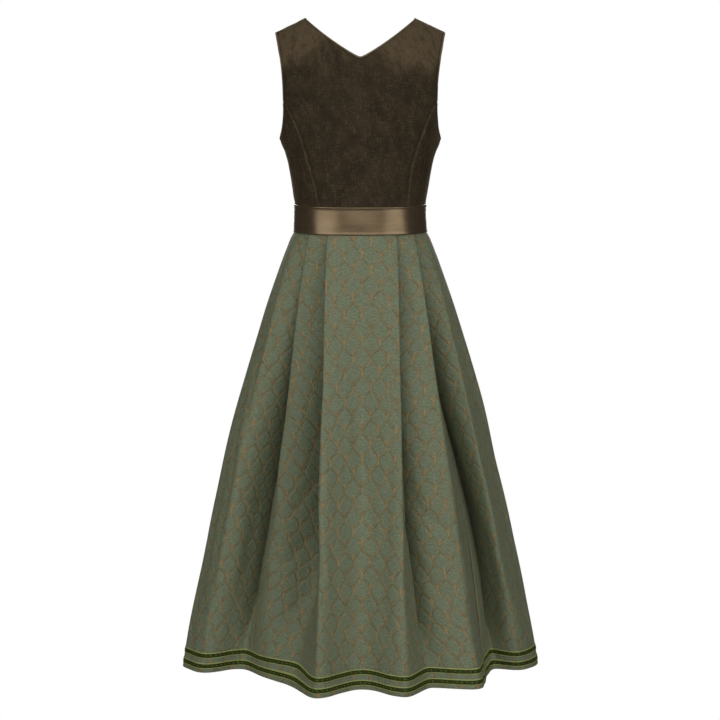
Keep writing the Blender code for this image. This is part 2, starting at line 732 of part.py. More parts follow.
def skirt():
    form = Skirt()
    places = places_round(2 * form.n)
    middle, normal = skirt_grid(form, places)
    for name, first, last in WIDTHS:
        start, end = (np.searchsorted(places, place % (2 * form.n)) for place in (first, last))
        columns = np.arange(start, end + 1 + len(places) * (end < start)) % len(places)
        part, half = middle[:, columns], normal[:, columns] * SKIRT_WALL / 2
        part[:, 0] += unit(part[:, 1] - part[:, 0]) * GAP / 2
        part[:, -1] += unit(part[:, -2] - part[:, -1]) * GAP / 2
        solid(name, part + half, part - half)
    outer = middle + normal * SKIRT_WALL / 2
    for row, (name, _, _) in zip((1, 3), RIBBONS):
        base, off = outer[row : row + 2], normal[row : row + 2]
        solid(name, base + off * (GAP + RIBBON_WALL), base + off * GAP, closed=True)


def main():
    for old in list(bpy.data.objects):
        bpy.data.objects.remove(old)
    dress = bpy.data.objects.new("dress", None)
    bpy.context.scene.collection.objects.link(dress)
    bodice()
    belt()
    skirt()


main()
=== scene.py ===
"""Looks of the dirndl dress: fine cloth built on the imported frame's form.

Every piece is worked out from the same sizes as its solid, in metres, in the row frame.
"""

import math

import bpy
import numpy as np
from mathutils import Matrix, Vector


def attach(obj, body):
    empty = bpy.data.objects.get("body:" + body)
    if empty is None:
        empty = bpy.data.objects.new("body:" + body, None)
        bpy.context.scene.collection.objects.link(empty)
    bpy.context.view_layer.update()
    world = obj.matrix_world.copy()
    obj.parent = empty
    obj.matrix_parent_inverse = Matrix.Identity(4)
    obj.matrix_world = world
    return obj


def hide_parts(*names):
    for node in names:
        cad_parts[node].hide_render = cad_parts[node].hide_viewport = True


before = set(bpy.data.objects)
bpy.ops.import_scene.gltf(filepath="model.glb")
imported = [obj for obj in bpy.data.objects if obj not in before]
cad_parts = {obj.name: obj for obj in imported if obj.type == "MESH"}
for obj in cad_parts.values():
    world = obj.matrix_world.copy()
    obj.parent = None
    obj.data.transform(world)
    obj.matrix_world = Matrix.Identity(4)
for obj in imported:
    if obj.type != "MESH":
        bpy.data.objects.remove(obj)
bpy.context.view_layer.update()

GAP = 0.0003           # between pieces that are sewn together
TUCK = 0.006           # how far bodice and skirt run up behind the belt
WALL = 0.0016          # thickness of the bodice's cloth
BELT_WALL = 0.0022
BELT_ROOM = 0.0008

WAIST_TOP = -0.349     # belt's upper edge
WAIST_LOW = -0.405     # belt's lower edge
HEM = -1.301

# ---------------------------------------------------------------- bodice sections

# Sections of the bodice: half width, and depth behind and in front of the side seam.
# level, half_width, back_depth, front_depth
SECTIONS = (
    (0.060, 0.190, 0.090, 0.080),
    (0.000, 0.189, 0.094, 0.086),
    (-0.050, 0.186, 0.098, 0.094),
    (-0.095, 0.181, 0.100, 0.104),
    (-0.137, 0.1735, 0.101, 0.116),
    (-0.173, 0.1655, 0.1005, 0.126),
    (-0.200, 0.1620, 0.0995, 0.1290),
    (-0.219, 0.1600, 0.0985, 0.1285),
    (-0.250, 0.1490, 0.0965, 0.1240),
    (-0.281, 0.1410, 0.0945, 0.1150),
    (-0.312, 0.1355, 0.0930, 0.1050),
    (-0.349, 0.1302, 0.0925, 0.0965),
    (-0.420, 0.1323, 0.0935, 0.0970),
)
SQUARENESS = 2.25      # exponent of the section, 2 is an ellipse

NECK_POINT = (0.109, 0.0187)       # shoulder seam, inner end: x, level
SHOULDER_TIP = (0.1688, -0.0108)   # shoulder seam, outer end
ROUND_OVER = 0.165                 # height over which the shoulder turns to upright

# Edge of the armhole from shoulder to underarm: level, x on the back, x on the front
ARMHOLE = (
    (-0.0108, 0.1688, 0.1688),
    (-0.0330, 0.1640, 0.1625),
    (-0.0563, 0.1597, 0.1560),
    (-0.0951, 0.1546, 0.1490),
    (-0.1370, 0.1522, 0.1465),
    (-0.1733, 0.1525, 0.1480),
    (-0.2020, 0.1556, 0.1530),
    (-0.2192, 0.1600, 0.1600),
)
UNDERARM = -0.2192

# Shaping seams between centre and side panels: level, x back left, x back right, x front
PRINCESS = (
    (-0.1440, 0.1521, 0.1521, 0.1466),
    (-0.1520, 0.1456, 0.1450, 0.1400),
    (-0.1850, 0.1266, 0.1292, 0.1200),
    (-0.2310, 0.1094, 0.1115, 0.1020),
    (-0.2740, 0.0973, 0.0990, 0.0900),
    (-0.3100, 0.0872, 0.0942, 0.0800),
    (-0.3490, 0.0800, 0.0905, 0.0730),
)
PRINCESS_TOP = -0.1440

BACK_V = -0.0572       # lowest point of the back neckline
FRONT_V = -0.1500
NECK_BOW = 0.0040      # how far each neckline side hangs below a straight line


def table(rows, column, level):
    """A column of a table at any level, through its rows."""
    levels = np.array([row[0] for row in rows])[::-1]
    values = np.array([row[column] for row in rows])[::-1]
    slopes = np.gradient(values, levels)
    level = np.clip(np.asarray(level, float), levels[0], levels[-1])
    k = np.clip(np.searchsorted(levels, level) - 1, 0, len(levels) - 2)
    width = levels[k + 1] - levels[k]
    t = (level - levels[k]) / width
    return (
        (1 + 2 * t) * (1 - t) ** 2 * values[k]
        + t * (1 - t) ** 2 * width * slopes[k]
        + t * t * (3 - 2 * t) * values[k + 1]
        + t * t * (t - 1) * width * slopes[k + 1]
    )


def shoulder_level(x):
    (x0, z0), (x1, z1) = NECK_POINT, SHOULDER_TIP
    return z0 + (z1 - z0) * (np.abs(x) - x0) / (x1 - x0)


def round_over(x, z):
    """How far the cloth has turned down from the shoulder seam (0) to upright (1)."""
    fall = np.clip((shoulder_level(x) - z) / ROUND_OVER, 0, 1)
    return np.sqrt(np.clip(1 - (1 - fall) ** 2, 0, 1))


def bodice_depth(x, z, side):
    """Distance behind (side -1) or in front of (side +1) the side seam's plane."""
    half = table(SECTIONS, 1, z)
    deep = table(SECTIONS, 2 if side < 0 else 3, z)
    out = np.clip(1 - np.clip(np.abs(x) / half, 0, 1) ** SQUARENESS, 0, 1)
    return side * deep * out ** (1 / SQUARENESS) * round_over(x, z)


def waist_ring(angle, z, grow=0.0):
    """A point of the closed ring at level z. Angle 0 is the back, +90 degrees is +X."""
    half = table(SECTIONS, 1, z) + grow
    back = table(SECTIONS, 2, z) + grow
    front = table(SECTIONS, 3, z) + grow
    s, c = np.sin(angle), np.cos(angle)
    power = 2 / SQUARENESS
    deep = np.where(c > 0, back, front)
    return half * np.sign(s) * np.abs(s) ** power, -deep * np.sign(c) * np.abs(c) ** power


# ---------------------------------------------------------------- skirt folds

# Fold edges of the skirt, in order round it from the middle of the back by way of +X.
# Each edge runs from the belt to the hem. waist_x places it on the waist ring; side is
# -1 at the back; hem_x, hem_y is its place at the hem; bell_x, bell_y say how much it
# swells outward on the way; roll is how much cloth rolls over the edge by the hem.
# name, waist_x, side, hem_x, hem_y, bell_x, bell_y, roll
EDGES = (
    ("back_right_1", 0.0715, -1, 0.0950, -0.2425, 0.05, 0.35, 0.026),
    ("back_right_2", 0.1055, -1, 0.2440, -0.1835, 0.02, 0.25, 0.008),
    ("back_right_3", 0.1270, -1, 0.3370, -0.0380, 0.18, 0.30, 0.000),
    ("side_right", 0.1327, 1, 0.3765, 0.0290, 0.36, 0.30, 0.000),
    ("front_right_3", 0.1260, 1, 0.3200, 0.0980, 0.25, 0.30, 0.000),
    ("front_right_2", 0.1020, 1, 0.2250, 0.1680, 0.08, 0.25, -0.008),
    ("front_right_1", 0.0680, 1, 0.0900, 0.2420, 0.00, 0.35, -0.022),
    ("front_left_1", -0.0690, 1, -0.0820, 0.2460, 0.00, 0.35, 0.022),
    ("front_left_2", -0.1010, 1, -0.2150, 0.1520, 0.08, 0.25, 0.008),
    ("front_left_3", -0.1250, 1, -0.3250, 0.0880, 0.25, 0.30, 0.000),
    ("side_left", -0.1327, 1, -0.3760, 0.0080, 0.36, 0.30, 0.000),
    ("back_left_3", -0.1245, -1, -0.3290, -0.0630, 0.30, 0.30, 0.000),
    ("back_left_2", -0.1010, -1, -0.2110, -0.0660, 0.22, 0.30, -0.008),
    ("back_left_1", -0.0645, -1, -0.0930, -0.2530, 0.12, 0.35, -0.026),
)
# The trough after each edge: where it lies at the hem, which edge covers it at the
# belt (-1 the edge before it, +1 the edge after it, 0 neither), how many folds lie over
# it there, how far its cloth is tucked under at the belt, and how much further in the
# trough lies half way down.
# name, hem_x, hem_y, under, rank, tucked, belly
TROUGHS = (
    ("back_right_12", 0.1420, -0.1590, -1, 0, 0.058, 0.000),
    ("back_right_23", 0.2720, -0.0170, -1, 1, 0.040, 0.036),
    ("right_back", 0.3560, -0.0150, 0, 0, 0.0, 0.0),
    ("right_front", 0.3330, 0.0620, 0, 0, 0.0, 0.0),
    ("front_right_32", 0.2580, 0.0960, 1, 1, 0.040, 0.0),
    ("front_right_21", 0.1500, 0.1620, 1, 0, 0.055, 0.0),
    ("front_middle", 0.0020, 0.1900, 0, 0, 0.0, 0.0),
    ("front_left_12", -0.1380, 0.1670, -1, 0, 0.055, 0.0),
    ("front_left_23", -0.2450, 0.0740, -1, 1, 0.040, 0.0),
    ("left_front", -0.3400, 0.0460, 0, 0, 0.0, 0.0),
    ("left_back", -0.3500, -0.0350, 0, 0, 0.0, 0.0),
    ("back_left_32", -0.2450, -0.0190, 1, 1, 0.040, 0.012),
    ("back_left_21", -0.1400, -0.1540, 1, 0, 0.058, 0.065),
    ("back_middle", 0.0030, -0.1770, 0, 0, 0.0, 0.0),
)
# Half way down, how much further out a fold's edge stands than between belt and hem
FULLER = {"back_right_3": 0.046, "front_right_3": 0.010, "front_left_3": 0.012}
# How far the open side of a trough bows out half way down, and where its crest lies:
# below 1 near the trough, above 1 near the next edge
BOWS = {
    "back_right_12": (0.021, 0.62),
    "back_right_23": (0.015, 1.00),
    "front_right_32": (0.010, 1.30),
    "front_right_21": (0.014, 0.80),
    "front_left_12": (0.013, 1.20),
    "front_left_23": (0.012, 0.90),
    "back_left_32": (0.011, 1.60),
    "back_left_21": (0.013, 1.60),
}
# The skirt springs out just below the belt and falls straighter lower down
# height fraction, share added to its breadth
SPRING = (
    (0.0, 0.0), (0.015, 0.020), (0.06, 0.026), (0.16, 0.024), (0.24, 0.014), (0.34, 0.005),
    (0.45, 0.0), (0.58, -0.005), (0.70, -0.012), (0.85, -0.013), (1.0, -0.009),
)
LAYER = 0.0032         # between the layers of a pleat at the belt
LOOSE = 0.75           # height fraction by which the pleats hang freely
SOFT_WAIST = 0.0014    # rounding of the folds at the belt and at the hem
SOFT_HEM = 0.0170
PER_LEG = 48           # steps of the working curve between two corners


def ease(t):
    t = min(1.0, max(0.0, t))
    return t * t * (3 - 2 * t)


def bell(u, swell):
    return u + swell * u * (1 - u)


def apex(p, q, first, second):
    """The corner between two legs from p and q, on the inner side of p to q."""
    span = float(np.hypot(*(q - p)))
    if span >= first + second:
        return p + (q - p) * first / (first + second)
    along = (span**2 + first**2 - second**2) / (2 * span)
    along = max(-first, min(first, along))
    rise = math.sqrt(max(0.0, first**2 - along**2))
    d = (q - p) / span
    return p + d * along + np.array([-d[1], d[0]]) * rise


class Ring:
    """The waist ring by its length, from the middle of the back by way of +X."""

    def __init__(self, level):
        angle = np.linspace(0, 2 * math.pi, 1441)
        x, y = waist_ring(angle, level)
        self.points = np.stack([x, y], 1)
        steps = np.hypot(*np.diff(self.points, axis=0).T)
        self.length = np.concatenate([[0], np.cumsum(steps)])
        self.total = float(self.length[-1])

    def of_x(self, x, side):
        """Length at which the ring has this x, at the back (-1) or the front (+1)."""
        half = len(self.points) // 2
        quarter = half // 2
        right = slice(0, quarter + 1) if side < 0 else slice(quarter, half + 1)
        xs, ls = self.points[right, 0], self.length[right]
        order = np.argsort(xs)
        found = float(np.interp(abs(x), xs[order], ls[order]))
        return found if x >= 0 else self.total - found

    def at(self, length, depth):
        length = np.mod(length, self.total)
        p = np.stack([np.interp(length, self.length, self.points[:, i]) for i in (0, 1)], -1)
        a = np.stack([np.interp(np.mod(length + 1e-3, self.total), self.length, self.points[:, i]) for i in (0, 1)], -1)
        b = np.stack([np.interp(np.mod(length - 1e-3, self.total), self.length, self.points[:, i]) for i in (0, 1)], -1)
        d = a - b
        d = d / np.linalg.norm(d, axis=-1, keepdims=True)
        inward = np.stack([-d[..., 1], d[..., 0]], -1)
        return p + inward * np.asarray(depth)[..., None]


class Skirt:
    """The skirt's middle surface. Corners are its fold edges and troughs in turn; a
    place round the skirt is a corner's number plus the part of the way to the next."""

    def __init__(self):
        n = self.n = len(EDGES)
        self.ring = Ring(WAIST_LOW)
        hem = []
        for edge, trough in zip(EDGES, TROUGHS):
            hem += [np.array(edge[3:5]), np.array(trough[1:3])]
        steps = [float(np.hypot(*(hem[(i + 1) % (2 * n)] - hem[i]))) for i in range(2 * n)]
        self.hem = np.array(hem)
        self.at_hem = np.concatenate([[0.0], np.cumsum(steps)])
        self.around = float(self.at_hem[-1])
        self.at_waist = self.at_hem.copy()
        for k in range(n):
            self.at_waist[2 * k] -= EDGES[k][7]
        self.at_waist[2 * n] = self.at_waist[0] + self.around
        self.where = [self.ring.of_x(e[1], e[2]) for e in EDGES]
        for k in range(n):
            a, b = self.at_waist[2 * k], self.at_waist[2 * k + 2]
            span = self.where[(k + 1) % n] - self.where[k]
            span = span if span > 0 else span + self.ring.total
            tuck = max(0.0, (b - a - span) / 2)
            under = TROUGHS[k][3]
            self.at_waist[2 * k + 1] = (
                (a + b) / 2 if under == 0 else (a + tuck if under < 0 else b - tuck)
            )
        self.first = self.curve_at_belt() - self.corner_curve(0.0)

    def cloth(self, u):
        """Cloth coordinate of each corner at height fraction u (0 belt, 1 hem)."""
        return self.at_waist + (self.at_hem - self.at_waist) * min(1.0, max(0.0, u)) ** 0.8

    def corners(self, u):
        s = self.cloth(u)
        edges = []
        for k, (name, x, side, hx, hy, bx, by, _) in enumerate(EDGES):
            w = self.ring.at(self.where[k], 0.0)
            out = side * FULLER.get(name, 0.0) * 6.75 * u * u * (1 - u)
            edges.append(np.array([w[0] + (hx - w[0]) * bell(u, bx), w[1] + (hy - w[1]) * bell(u, by) + out]))
        found = []
        for k, (_, hx, hy, under, _, tucked, belly) in enumerate(TROUGHS):
            p, q = edges[k], edges[(k + 1) % self.n]
            found.append(p)
            if under == 0:
                w = self.ring.at(self.where[k] + self.span(k) / 2, 0.0)
                way = bell(u, 0.30)
                found.append(w + (np.array([hx, hy]) - w) * way)
                continue
            first, second = s[2 * k + 1] - s[2 * k], s[2 * k + 2] - s[2 * k + 1]
            short = max(0.0, min(first, second) - tucked) * (1 - ease(u / LOOSE))
            first, second = first - short, second - short
            span = float(np.hypot(*(q - p)))
            least = 0.022 + 0.01 * u
            if under < 0:
                second = min(second, span + first - 0.5 * least**2 / max(first, 0.01))
            else:
                first = min(first, span + second - 0.5 * least**2 / max(second, 0.01))
            further = belly * 6.75 * u * u * (1 - u)
            found.append(apex(p, q, first, second) + np.array([0, -EDGES[k][2] * further]))
        return np.array(found)

    def corner_curve(self, u):
        """The working curve with sharp corners: PER_LEG steps for each leg."""
        c = self.corners(u)
        t = np.arange(PER_LEG)[:, None] / PER_LEG
        legs = []
        for i in range(len(c)):
            p, q = c[i], c[(i + 1) % len(c)]
            line = p + (q - p) * t
            if TROUGHS[i // 2][3] == 0:
                # A panel with no fold beside it dips softly, with no crease in it.
                wide = c[(i - i % 2 + 2) % len(c)] - c[i - i % 2]
                wide = wide / np.hypot(*wide)
                across = np.array([-wide[1], wide[0]])
                line = line - across * ((q - p) @ across) * np.sin(2 * math.pi * t) / 13
            elif (TROUGHS[i // 2][3] > 0) == (i % 2 == 0):
                # The open side of a trough bows out, most in the middle of its height.
                bow, crest = BOWS[TROUGHS[i // 2][0]]
                along = (q - p) / np.hypot(*(q - p))
                out = np.array([along[1], -along[0]])
                rise = ease((u - 0.12) / 0.30) * (1 - 0.70 * ease((u - 0.70) / 0.30))
                from_trough = 1 - t if i % 2 == 0 else t
                line = line + out * bow * rise * np.sin(math.pi * from_trough**crest)
            legs.append(line)
        return np.concatenate(legs)

    def span(self, k):
        """Visible length at the belt between edge k and the next one."""
        k = k % self.n
        return (self.where[(k + 1) % self.n] - self.where[k]) % self.ring.total

    def curve_at_belt(self):
        """The pleats as they are laid on the waist ring, layer under layer."""
        legs = []
        t = np.arange(PER_LEG) / PER_LEG
        for k, (_, _, _, under, rank, tucked, _) in enumerate(TROUGHS):
            full = self.span(k)
            a = self.where[k]
            if under == 0:
                legs.append(self.ring.at(a + full / 2 * t, 0 * t))
                legs.append(self.ring.at(a + full / 2 * (1 + t), 0 * t))
                continue
            # Distance behind the covering edge: over it from 0 to tucked, and back.
            slope = 2 * LAYER / self.span(k - 1 if under < 0 else k + 1)
            over = tucked * t
            out = full - (full + tucked) * (1 - t)

            def deep(behind, layer):
                lean = np.minimum(behind * slope, 2 * LAYER * rank) if rank else 0 * behind
                return LAYER * (1 - np.exp(-behind / 0.004)) * (layer == 1) + 2 * LAYER * (layer == 2) + lean

            def low(out):
                return np.where(out < 0, deep(np.clip(-out, 0, None), 2), 2 * LAYER * (1 - out / full))

            if under < 0:
                legs.append(self.ring.at(a - over, deep(over, 1)))
                legs.append(self.ring.at(a + out, low(out)))
            else:
                b, out = a + full, full - (full + tucked) * t
                legs.append(self.ring.at(b - out, low(out)))
                legs.append(self.ring.at(b + tucked * (1 - t), deep(tucked * (1 - t), 1)))
        return np.concatenate(legs)

    def plan(self, u, places, shift=0.0):
        """Plan position of places round the skirt at height fraction u, and the cloth
        coordinate of each, shifted along the cloth."""
        curve = self.corner_curve(u) + self.first * (1 - ease(u / LOOSE))
        s = self.cloth(u)
        steps = np.arange(PER_LEG) / PER_LEG
        coordinate = np.concatenate([s[i] + (s[i + 1] - s[i]) * steps for i in range(2 * self.n)])
        count = 4096
        even = s[0] + self.around * np.arange(count) / count
        line = np.stack(
            [np.interp(even, np.append(coordinate, s[0] + self.around), np.append(curve[:, i], curve[0, i])) for i in (0, 1)], 1
        )
        soft = SOFT_WAIST + (SOFT_HEM - SOFT_WAIST) * max(0.0, u) ** 2.0
        wave = np.fft.rfftfreq(count, self.around / count)
        line = np.fft.irfft(
            np.fft.rfft(line, axis=0) * np.exp(-2 * (math.pi * soft * wave) ** 2)[:, None], count, axis=0
        )
        places = np.asarray(places, float)
        k = np.floor(places).astype(int)
        part = places - k
        turn, k = np.divmod(k, 2 * self.n)
        want = s[k] + (s[k + 1] - s[k]) * part + shift
        at = np.mod(want - s[0], self.around)
        ends = np.append(even - s[0], self.around)
        xy = np.stack([np.interp(at, ends, np.append(line[:, i], line[0, i])) for i in (0, 1)], -1)
        xy[..., 0] *= 1 + np.interp(u, *zip(*SPRING))
        return xy, want + turn * self.around



def patch(bottom, top, left, right):
    """A surface patch between four edge curves, each a function of 0 to 1."""

    def point(u, v):
        u, v = np.asarray(u, float)[..., None], np.asarray(v, float)[..., None]
        low, high = bottom(u[..., 0]), top(u[..., 0])
        west, east = left(v[..., 0]), right(v[..., 0])
        zero, one = np.zeros(1), np.ones(1)
        corners = (
            (1 - u) * (1 - v) * bottom(zero)
            + u * (1 - v) * bottom(one)
            + (1 - u) * v * top(zero)
            + u * v * top(one)
        )
        return (1 - v) * low + v * high + (1 - u) * west + u * east - corners

    return point


def through(knots, values):
    """A broken line through values (knots by columns) as a function of the knots."""
    values = np.array(values, float)

    def at(t):
        return np.stack([np.interp(t, knots, values[:, i]) for i in range(values.shape[1])], -1)

    return at


FOOT = WAIST_TOP - TUCK


def seam_x(z, side, sign):
    column = 3 if side > 0 else (1 if sign < 0 else 2)
    return table(PRINCESS, column, np.maximum(z, PRINCESS[-1][0]))


def arm_x(z, side):
    return table(ARMHOLE, 2 if side > 0 else 1, z)


def outer_edge(side, sign):
    """Edge of a centre panel from the belt up: shaping seam, then armhole."""

    def at(v):
        z = FOOT + (SHOULDER_TIP[1] - FOOT) * v
        x = np.where(z < PRINCESS_TOP, seam_x(z, side, sign), arm_x(z, side))
        return np.stack([sign * x, z], -1)

    return at


def neckline(low, count=6):
    """From the lowest point to the neck point: x and level, bowed a little downward."""
    t = np.linspace(0, 1, count)
    x = NECK_POINT[0] * t
    z = low + (NECK_POINT[1] - low) * t - NECK_BOW * 4 * t * (1 - t)
    return np.stack([x, z], -1)


def centre_back():
    side = neckline(BACK_V)
    shoulder = np.array([SHOULDER_TIP])
    right = np.concatenate([side, shoulder])
    left = right[::-1] * np.array([-1, 1])
    values = np.concatenate([left[:-1], right])
    steps = np.concatenate([[0], np.cumsum(np.hypot(*np.diff(values, axis=0).T))])
    top = through(steps / steps[-1], values)
    ends = outer_edge(-1, -1)(np.zeros(1))[0], outer_edge(-1, 1)(np.zeros(1))[0]
    flat = patch(through([0, 1], ends), top, outer_edge(-1, -1), outer_edge(-1, 1))
    knots = steps / steps[-1]

    def surface(u, v):
        p = flat(u, v)
        return np.stack([p[..., 0], bodice_depth(p[..., 0], p[..., 1], -1), p[..., 1]], -1)

    columns = np.concatenate([[0, knots[1] / 2], knots[1:-1], [(1 + knots[-2]) / 2, 1]])
    return surface, columns


def centre_front(sign):
    line = neckline(FRONT_V, 7)
    values = np.concatenate([line, [SHOULDER_TIP]]) * np.array([sign, 1])
    steps = np.concatenate([[0], np.cumsum(np.hypot(*np.diff(values, axis=0).T))])
    knots = steps / steps[-1]
    foot = outer_edge(1, sign)(np.zeros(1))[0]
    flat = patch(
        through([0, 1], [(0, FOOT), foot]),
        through(knots, values),
        through([0, 1], [(0, FOOT), (0, FRONT_V)]),
        outer_edge(1, sign),
    )

    def surface(u, v):
        # Columns run anticlockwise from above, so the panel on +X is read backward.
        p = flat(1 - u if sign > 0 else u, v)
        return np.stack([p[..., 0], bodice_depth(p[..., 0], p[..., 1], 1), p[..., 1]], -1)

    columns = np.concatenate([knots[:-1], [(1 + knots[-2]) / 2, 1]])
    return surface, (1 - columns[::-1] if sign > 0 else columns)


def side_panel(side, sign):
    def turn(x, z):
        return np.arcsin(np.clip(x / table(SECTIONS, 1, z), 0, 1) ** (SQUARENESS / 2))

    def seam(v):
        z = FOOT + (PRINCESS_TOP - FOOT) * v
        return np.stack([turn(seam_x(z, side, sign), z), z], -1)

    def arm(u):
        z = PRINCESS_TOP + (UNDERARM - PRINCESS_TOP) * u**1.4
        return np.stack([np.where(u >= 1, math.pi / 2, turn(arm_x(z, side), z)), z], -1)

    corner = seam(np.zeros(1))[0]
    edge = math.pi / 2
    flat = patch(
        through([0, 1], [corner, (edge, FOOT)]),
        arm,
        seam,
        through([0, 1], [(edge, FOOT), (edge, UNDERARM)]),
    )
    onward = (sign > 0) == (side < 0)

    def surface(u, v):
        p = flat(u if onward else 1 - u, v)
        z = p[..., 1]
        x = table(SECTIONS, 1, z) * np.sin(p[..., 0]) ** (2 / SQUARENESS)
        deep = table(SECTIONS, 2 if side < 0 else 3, z) * round_over(x, z)
        y = side * deep * np.abs(np.cos(p[..., 0])) ** (2 / SQUARENESS)
        return np.stack([sign * x, y, z], -1)

    return surface, np.linspace(0, 1, 8)


# ---------------------------------------------------------------- camera, light, world


def studio():
    """Camera at the height of the shoulders, softboxes either side of it, and a world that is white to the camera."""
    data = bpy.data.cameras.new("camera")
    data.lens, data.sensor_width = 125.0, 36.0
    data.clip_end = 100.0
    camera = bpy.data.objects.new("camera", data)
    camera.location = (-0.0006, -5.0, 0.054)
    camera.rotation_euler = (math.radians(90) - math.atan(360 / 2500), 0, 0)
    bpy.context.scene.collection.objects.link(camera)
    bpy.context.scene.camera = camera

    # name, turn from the back of the dress, distance, height, width, tall, radiance
    boxes = (
        ("box_left", -41, 4.6, 0.45, 2.9, 3.4, 2.30),
        ("box_right", 41, 4.6, 0.45, 2.9, 3.4, 2.30),
        ("box_middle", 0, 6.4, 0.95, 4.6, 3.4, 1.95),
        ("box_top", 0, 1.9, 2.60, 2.4, 1.4, 1.6),
        ("box_far", 180, 5.2, 0.60, 4.8, 3.4, 3.2),
        ("box_low", 0, 0.10, -3.30, 0.9, 0.9, 4.0),
    )
    for name, turn, far, high, wide, tall, radiance in boxes:
        light = bpy.data.lights.new(name, "AREA")
        light.shape, light.size, light.size_y = "RECTANGLE", wide, tall
        light.energy = radiance * math.pi * wide * tall
        lamp = bpy.data.objects.new(name, light)
        a = math.radians(turn)
        lamp.location = (far * math.sin(a), -far * math.cos(a), high)
        aim = Vector((0, 0, -0.62)) - lamp.location
        lamp.rotation_mode = "QUATERNION"
        lamp.rotation_quaternion = aim.to_track_quat("-Z", "Y")
        lamp.visible_camera = False
        bpy.context.scene.collection.objects.link(lamp)

    world = bpy.data.worlds.new("studio")
    world.use_nodes = True
    bpy.context.scene.world = world
    tree = world.node_tree
    tree.nodes.clear()
    out = tree.nodes.new("ShaderNodeOutputWorld")
    mix = tree.nodes.new("ShaderNodeMixShader")
    dim = tree.nodes.new("ShaderNodeBackground")
    white = tree.nodes.new("ShaderNodeBackground")
    path = tree.nodes.new("ShaderNodeLightPath")
    dim.inputs[0].default_value = (0.92, 0.96, 1.0, 1)
    dim.inputs[1].default_value = 0.06
    white.inputs[0].default_value = (1, 1, 1, 1)
    white.inputs[1].default_value = 1.0
    tree.links.new(path.outputs["Is Camera Ray"], mix.inputs[0])
    tree.links.new(dim.outputs[0], mix.inputs[1])
    tree.links.new(white.outputs[0], mix.inputs[2])
    tree.links.new(mix.outputs[0], out.inputs[0])

    view = bpy.context.scene.view_settings
    view.view_transform = "Standard"
    view.look = "None"


# ---------------------------------------------------------------- node helper


class Nodes:
    """Short way to write a material's node tree."""

    def __init__(self, name):
        self.material = bpy.data.materials.new(name)
        self.material.use_nodes = True
        self.tree = self.material.node_tree
        self.tree.nodes.clear()
        self.out = self.tree.nodes.new("ShaderNodeOutputMaterial")

    def add(self, kind, **values):
        node = self.tree.nodes.new("ShaderNode" + kind)
        for key, value in values.items():
            if key in node.inputs:
                self.put(node.inputs[key], value)
            else:
                setattr(node, key, value)
        return node

    def put(self, socket, value):
        if isinstance(value, bpy.types.NodeSocket):
            self.tree.links.new(value, socket)
        else:
            socket.default_value = value

    def link(self, a, b):
        self.tree.links.new(a, b)

    def math(self, operation, *values, clamp=False):
        node = self.tree.nodes.new("ShaderNodeMath")
        node.operation, node.use_clamp = operation, clamp
        for socket, value in zip(node.inputs, values):
            self.put(socket, value)
        return node.outputs[0]

    def ramp(self, value, low, high, to_low=0.0, to_high=1.0, smooth=True):
        node = self.tree.nodes.new("ShaderNodeMapRange")
        node.interpolation_type = "SMOOTHSTEP" if smooth else "LINEAR"
        node.clamp = True
        for key, v in (("Value", value), ("From Min", low), ("From Max", high), ("To Min", to_low), ("To Max", to_high)):
            self.put(node.inputs[key], v)
        return node.outputs["Result"]

    def mix(self, share, a, b):
        node = self.tree.nodes.new("ShaderNodeMix")
        node.data_type = "RGBA"
        self.put(node.inputs[0], share)
        for socket, value in ((node.inputs[6], a), (node.inputs[7], b)):
            self.put(socket, (*value, 1) if isinstance(value, tuple) and len(value) == 3 else value)
        return node.outputs[2]

    def cloth(self, name="cloth"):
        """The cloth's own coordinates in metres: across the warp, along it."""
        uv = self.tree.nodes.new("ShaderNodeUVMap")
        uv.uv_map = name
        parts = self.tree.nodes.new("ShaderNodeSeparateXYZ")
        self.link(uv.outputs[0], parts.inputs[0])
        return parts.outputs[0], parts.outputs[1]

    def noise(self, across, along, x_scale, y_scale, detail=2.0, rough=0.5, seed=0.0):
        """Noise over the cloth, with its own scale across and along."""
        join = self.tree.nodes.new("ShaderNodeCombineXYZ")
        self.put(join.inputs[0], self.math("MULTIPLY", across, x_scale))
        self.put(join.inputs[1], self.math("MULTIPLY", along, y_scale))
        join.inputs[2].default_value = seed
        node = self.tree.nodes.new("ShaderNodeTexNoise")
        node.noise_dimensions = "3D"
        node.inputs["Scale"].default_value = 1.0
        node.inputs["Detail"].default_value = detail
        node.inputs["Roughness"].default_value = rough
        self.link(join.outputs[0], node.inputs["Vector"])
        return node.outputs["Fac"]

    def bump(self, height, distance, strength=1.0, normal=None):
        node = self.tree.nodes.new("ShaderNodeBump")
        node.inputs["Strength"].default_value = strength
        node.inputs["Distance"].default_value = distance
        self.link(height, node.inputs["Height"])
        if normal is not None:
            self.link(normal, node.inputs["Normal"])
        return node.outputs[0]

    def finish(self, shader):
        self.link(shader, self.out.inputs[0])
        return self.material


# ---------------------------------------------------------------- materials

# The woven repeat: width and height of the scale lattice, and how tall an arch is
REPEAT_WIDE = 0.0360
REPEAT_TALL = 0.0575
ARCH_TALL = 0.0228
# Each scale has a twig standing in it: its length, and half widths of twig, stem and arch
TWIG = 0.0190
TWIG_HALF = 0.00125
STEM_HALF = 0.00135
ARCH_HALF = 0.00082


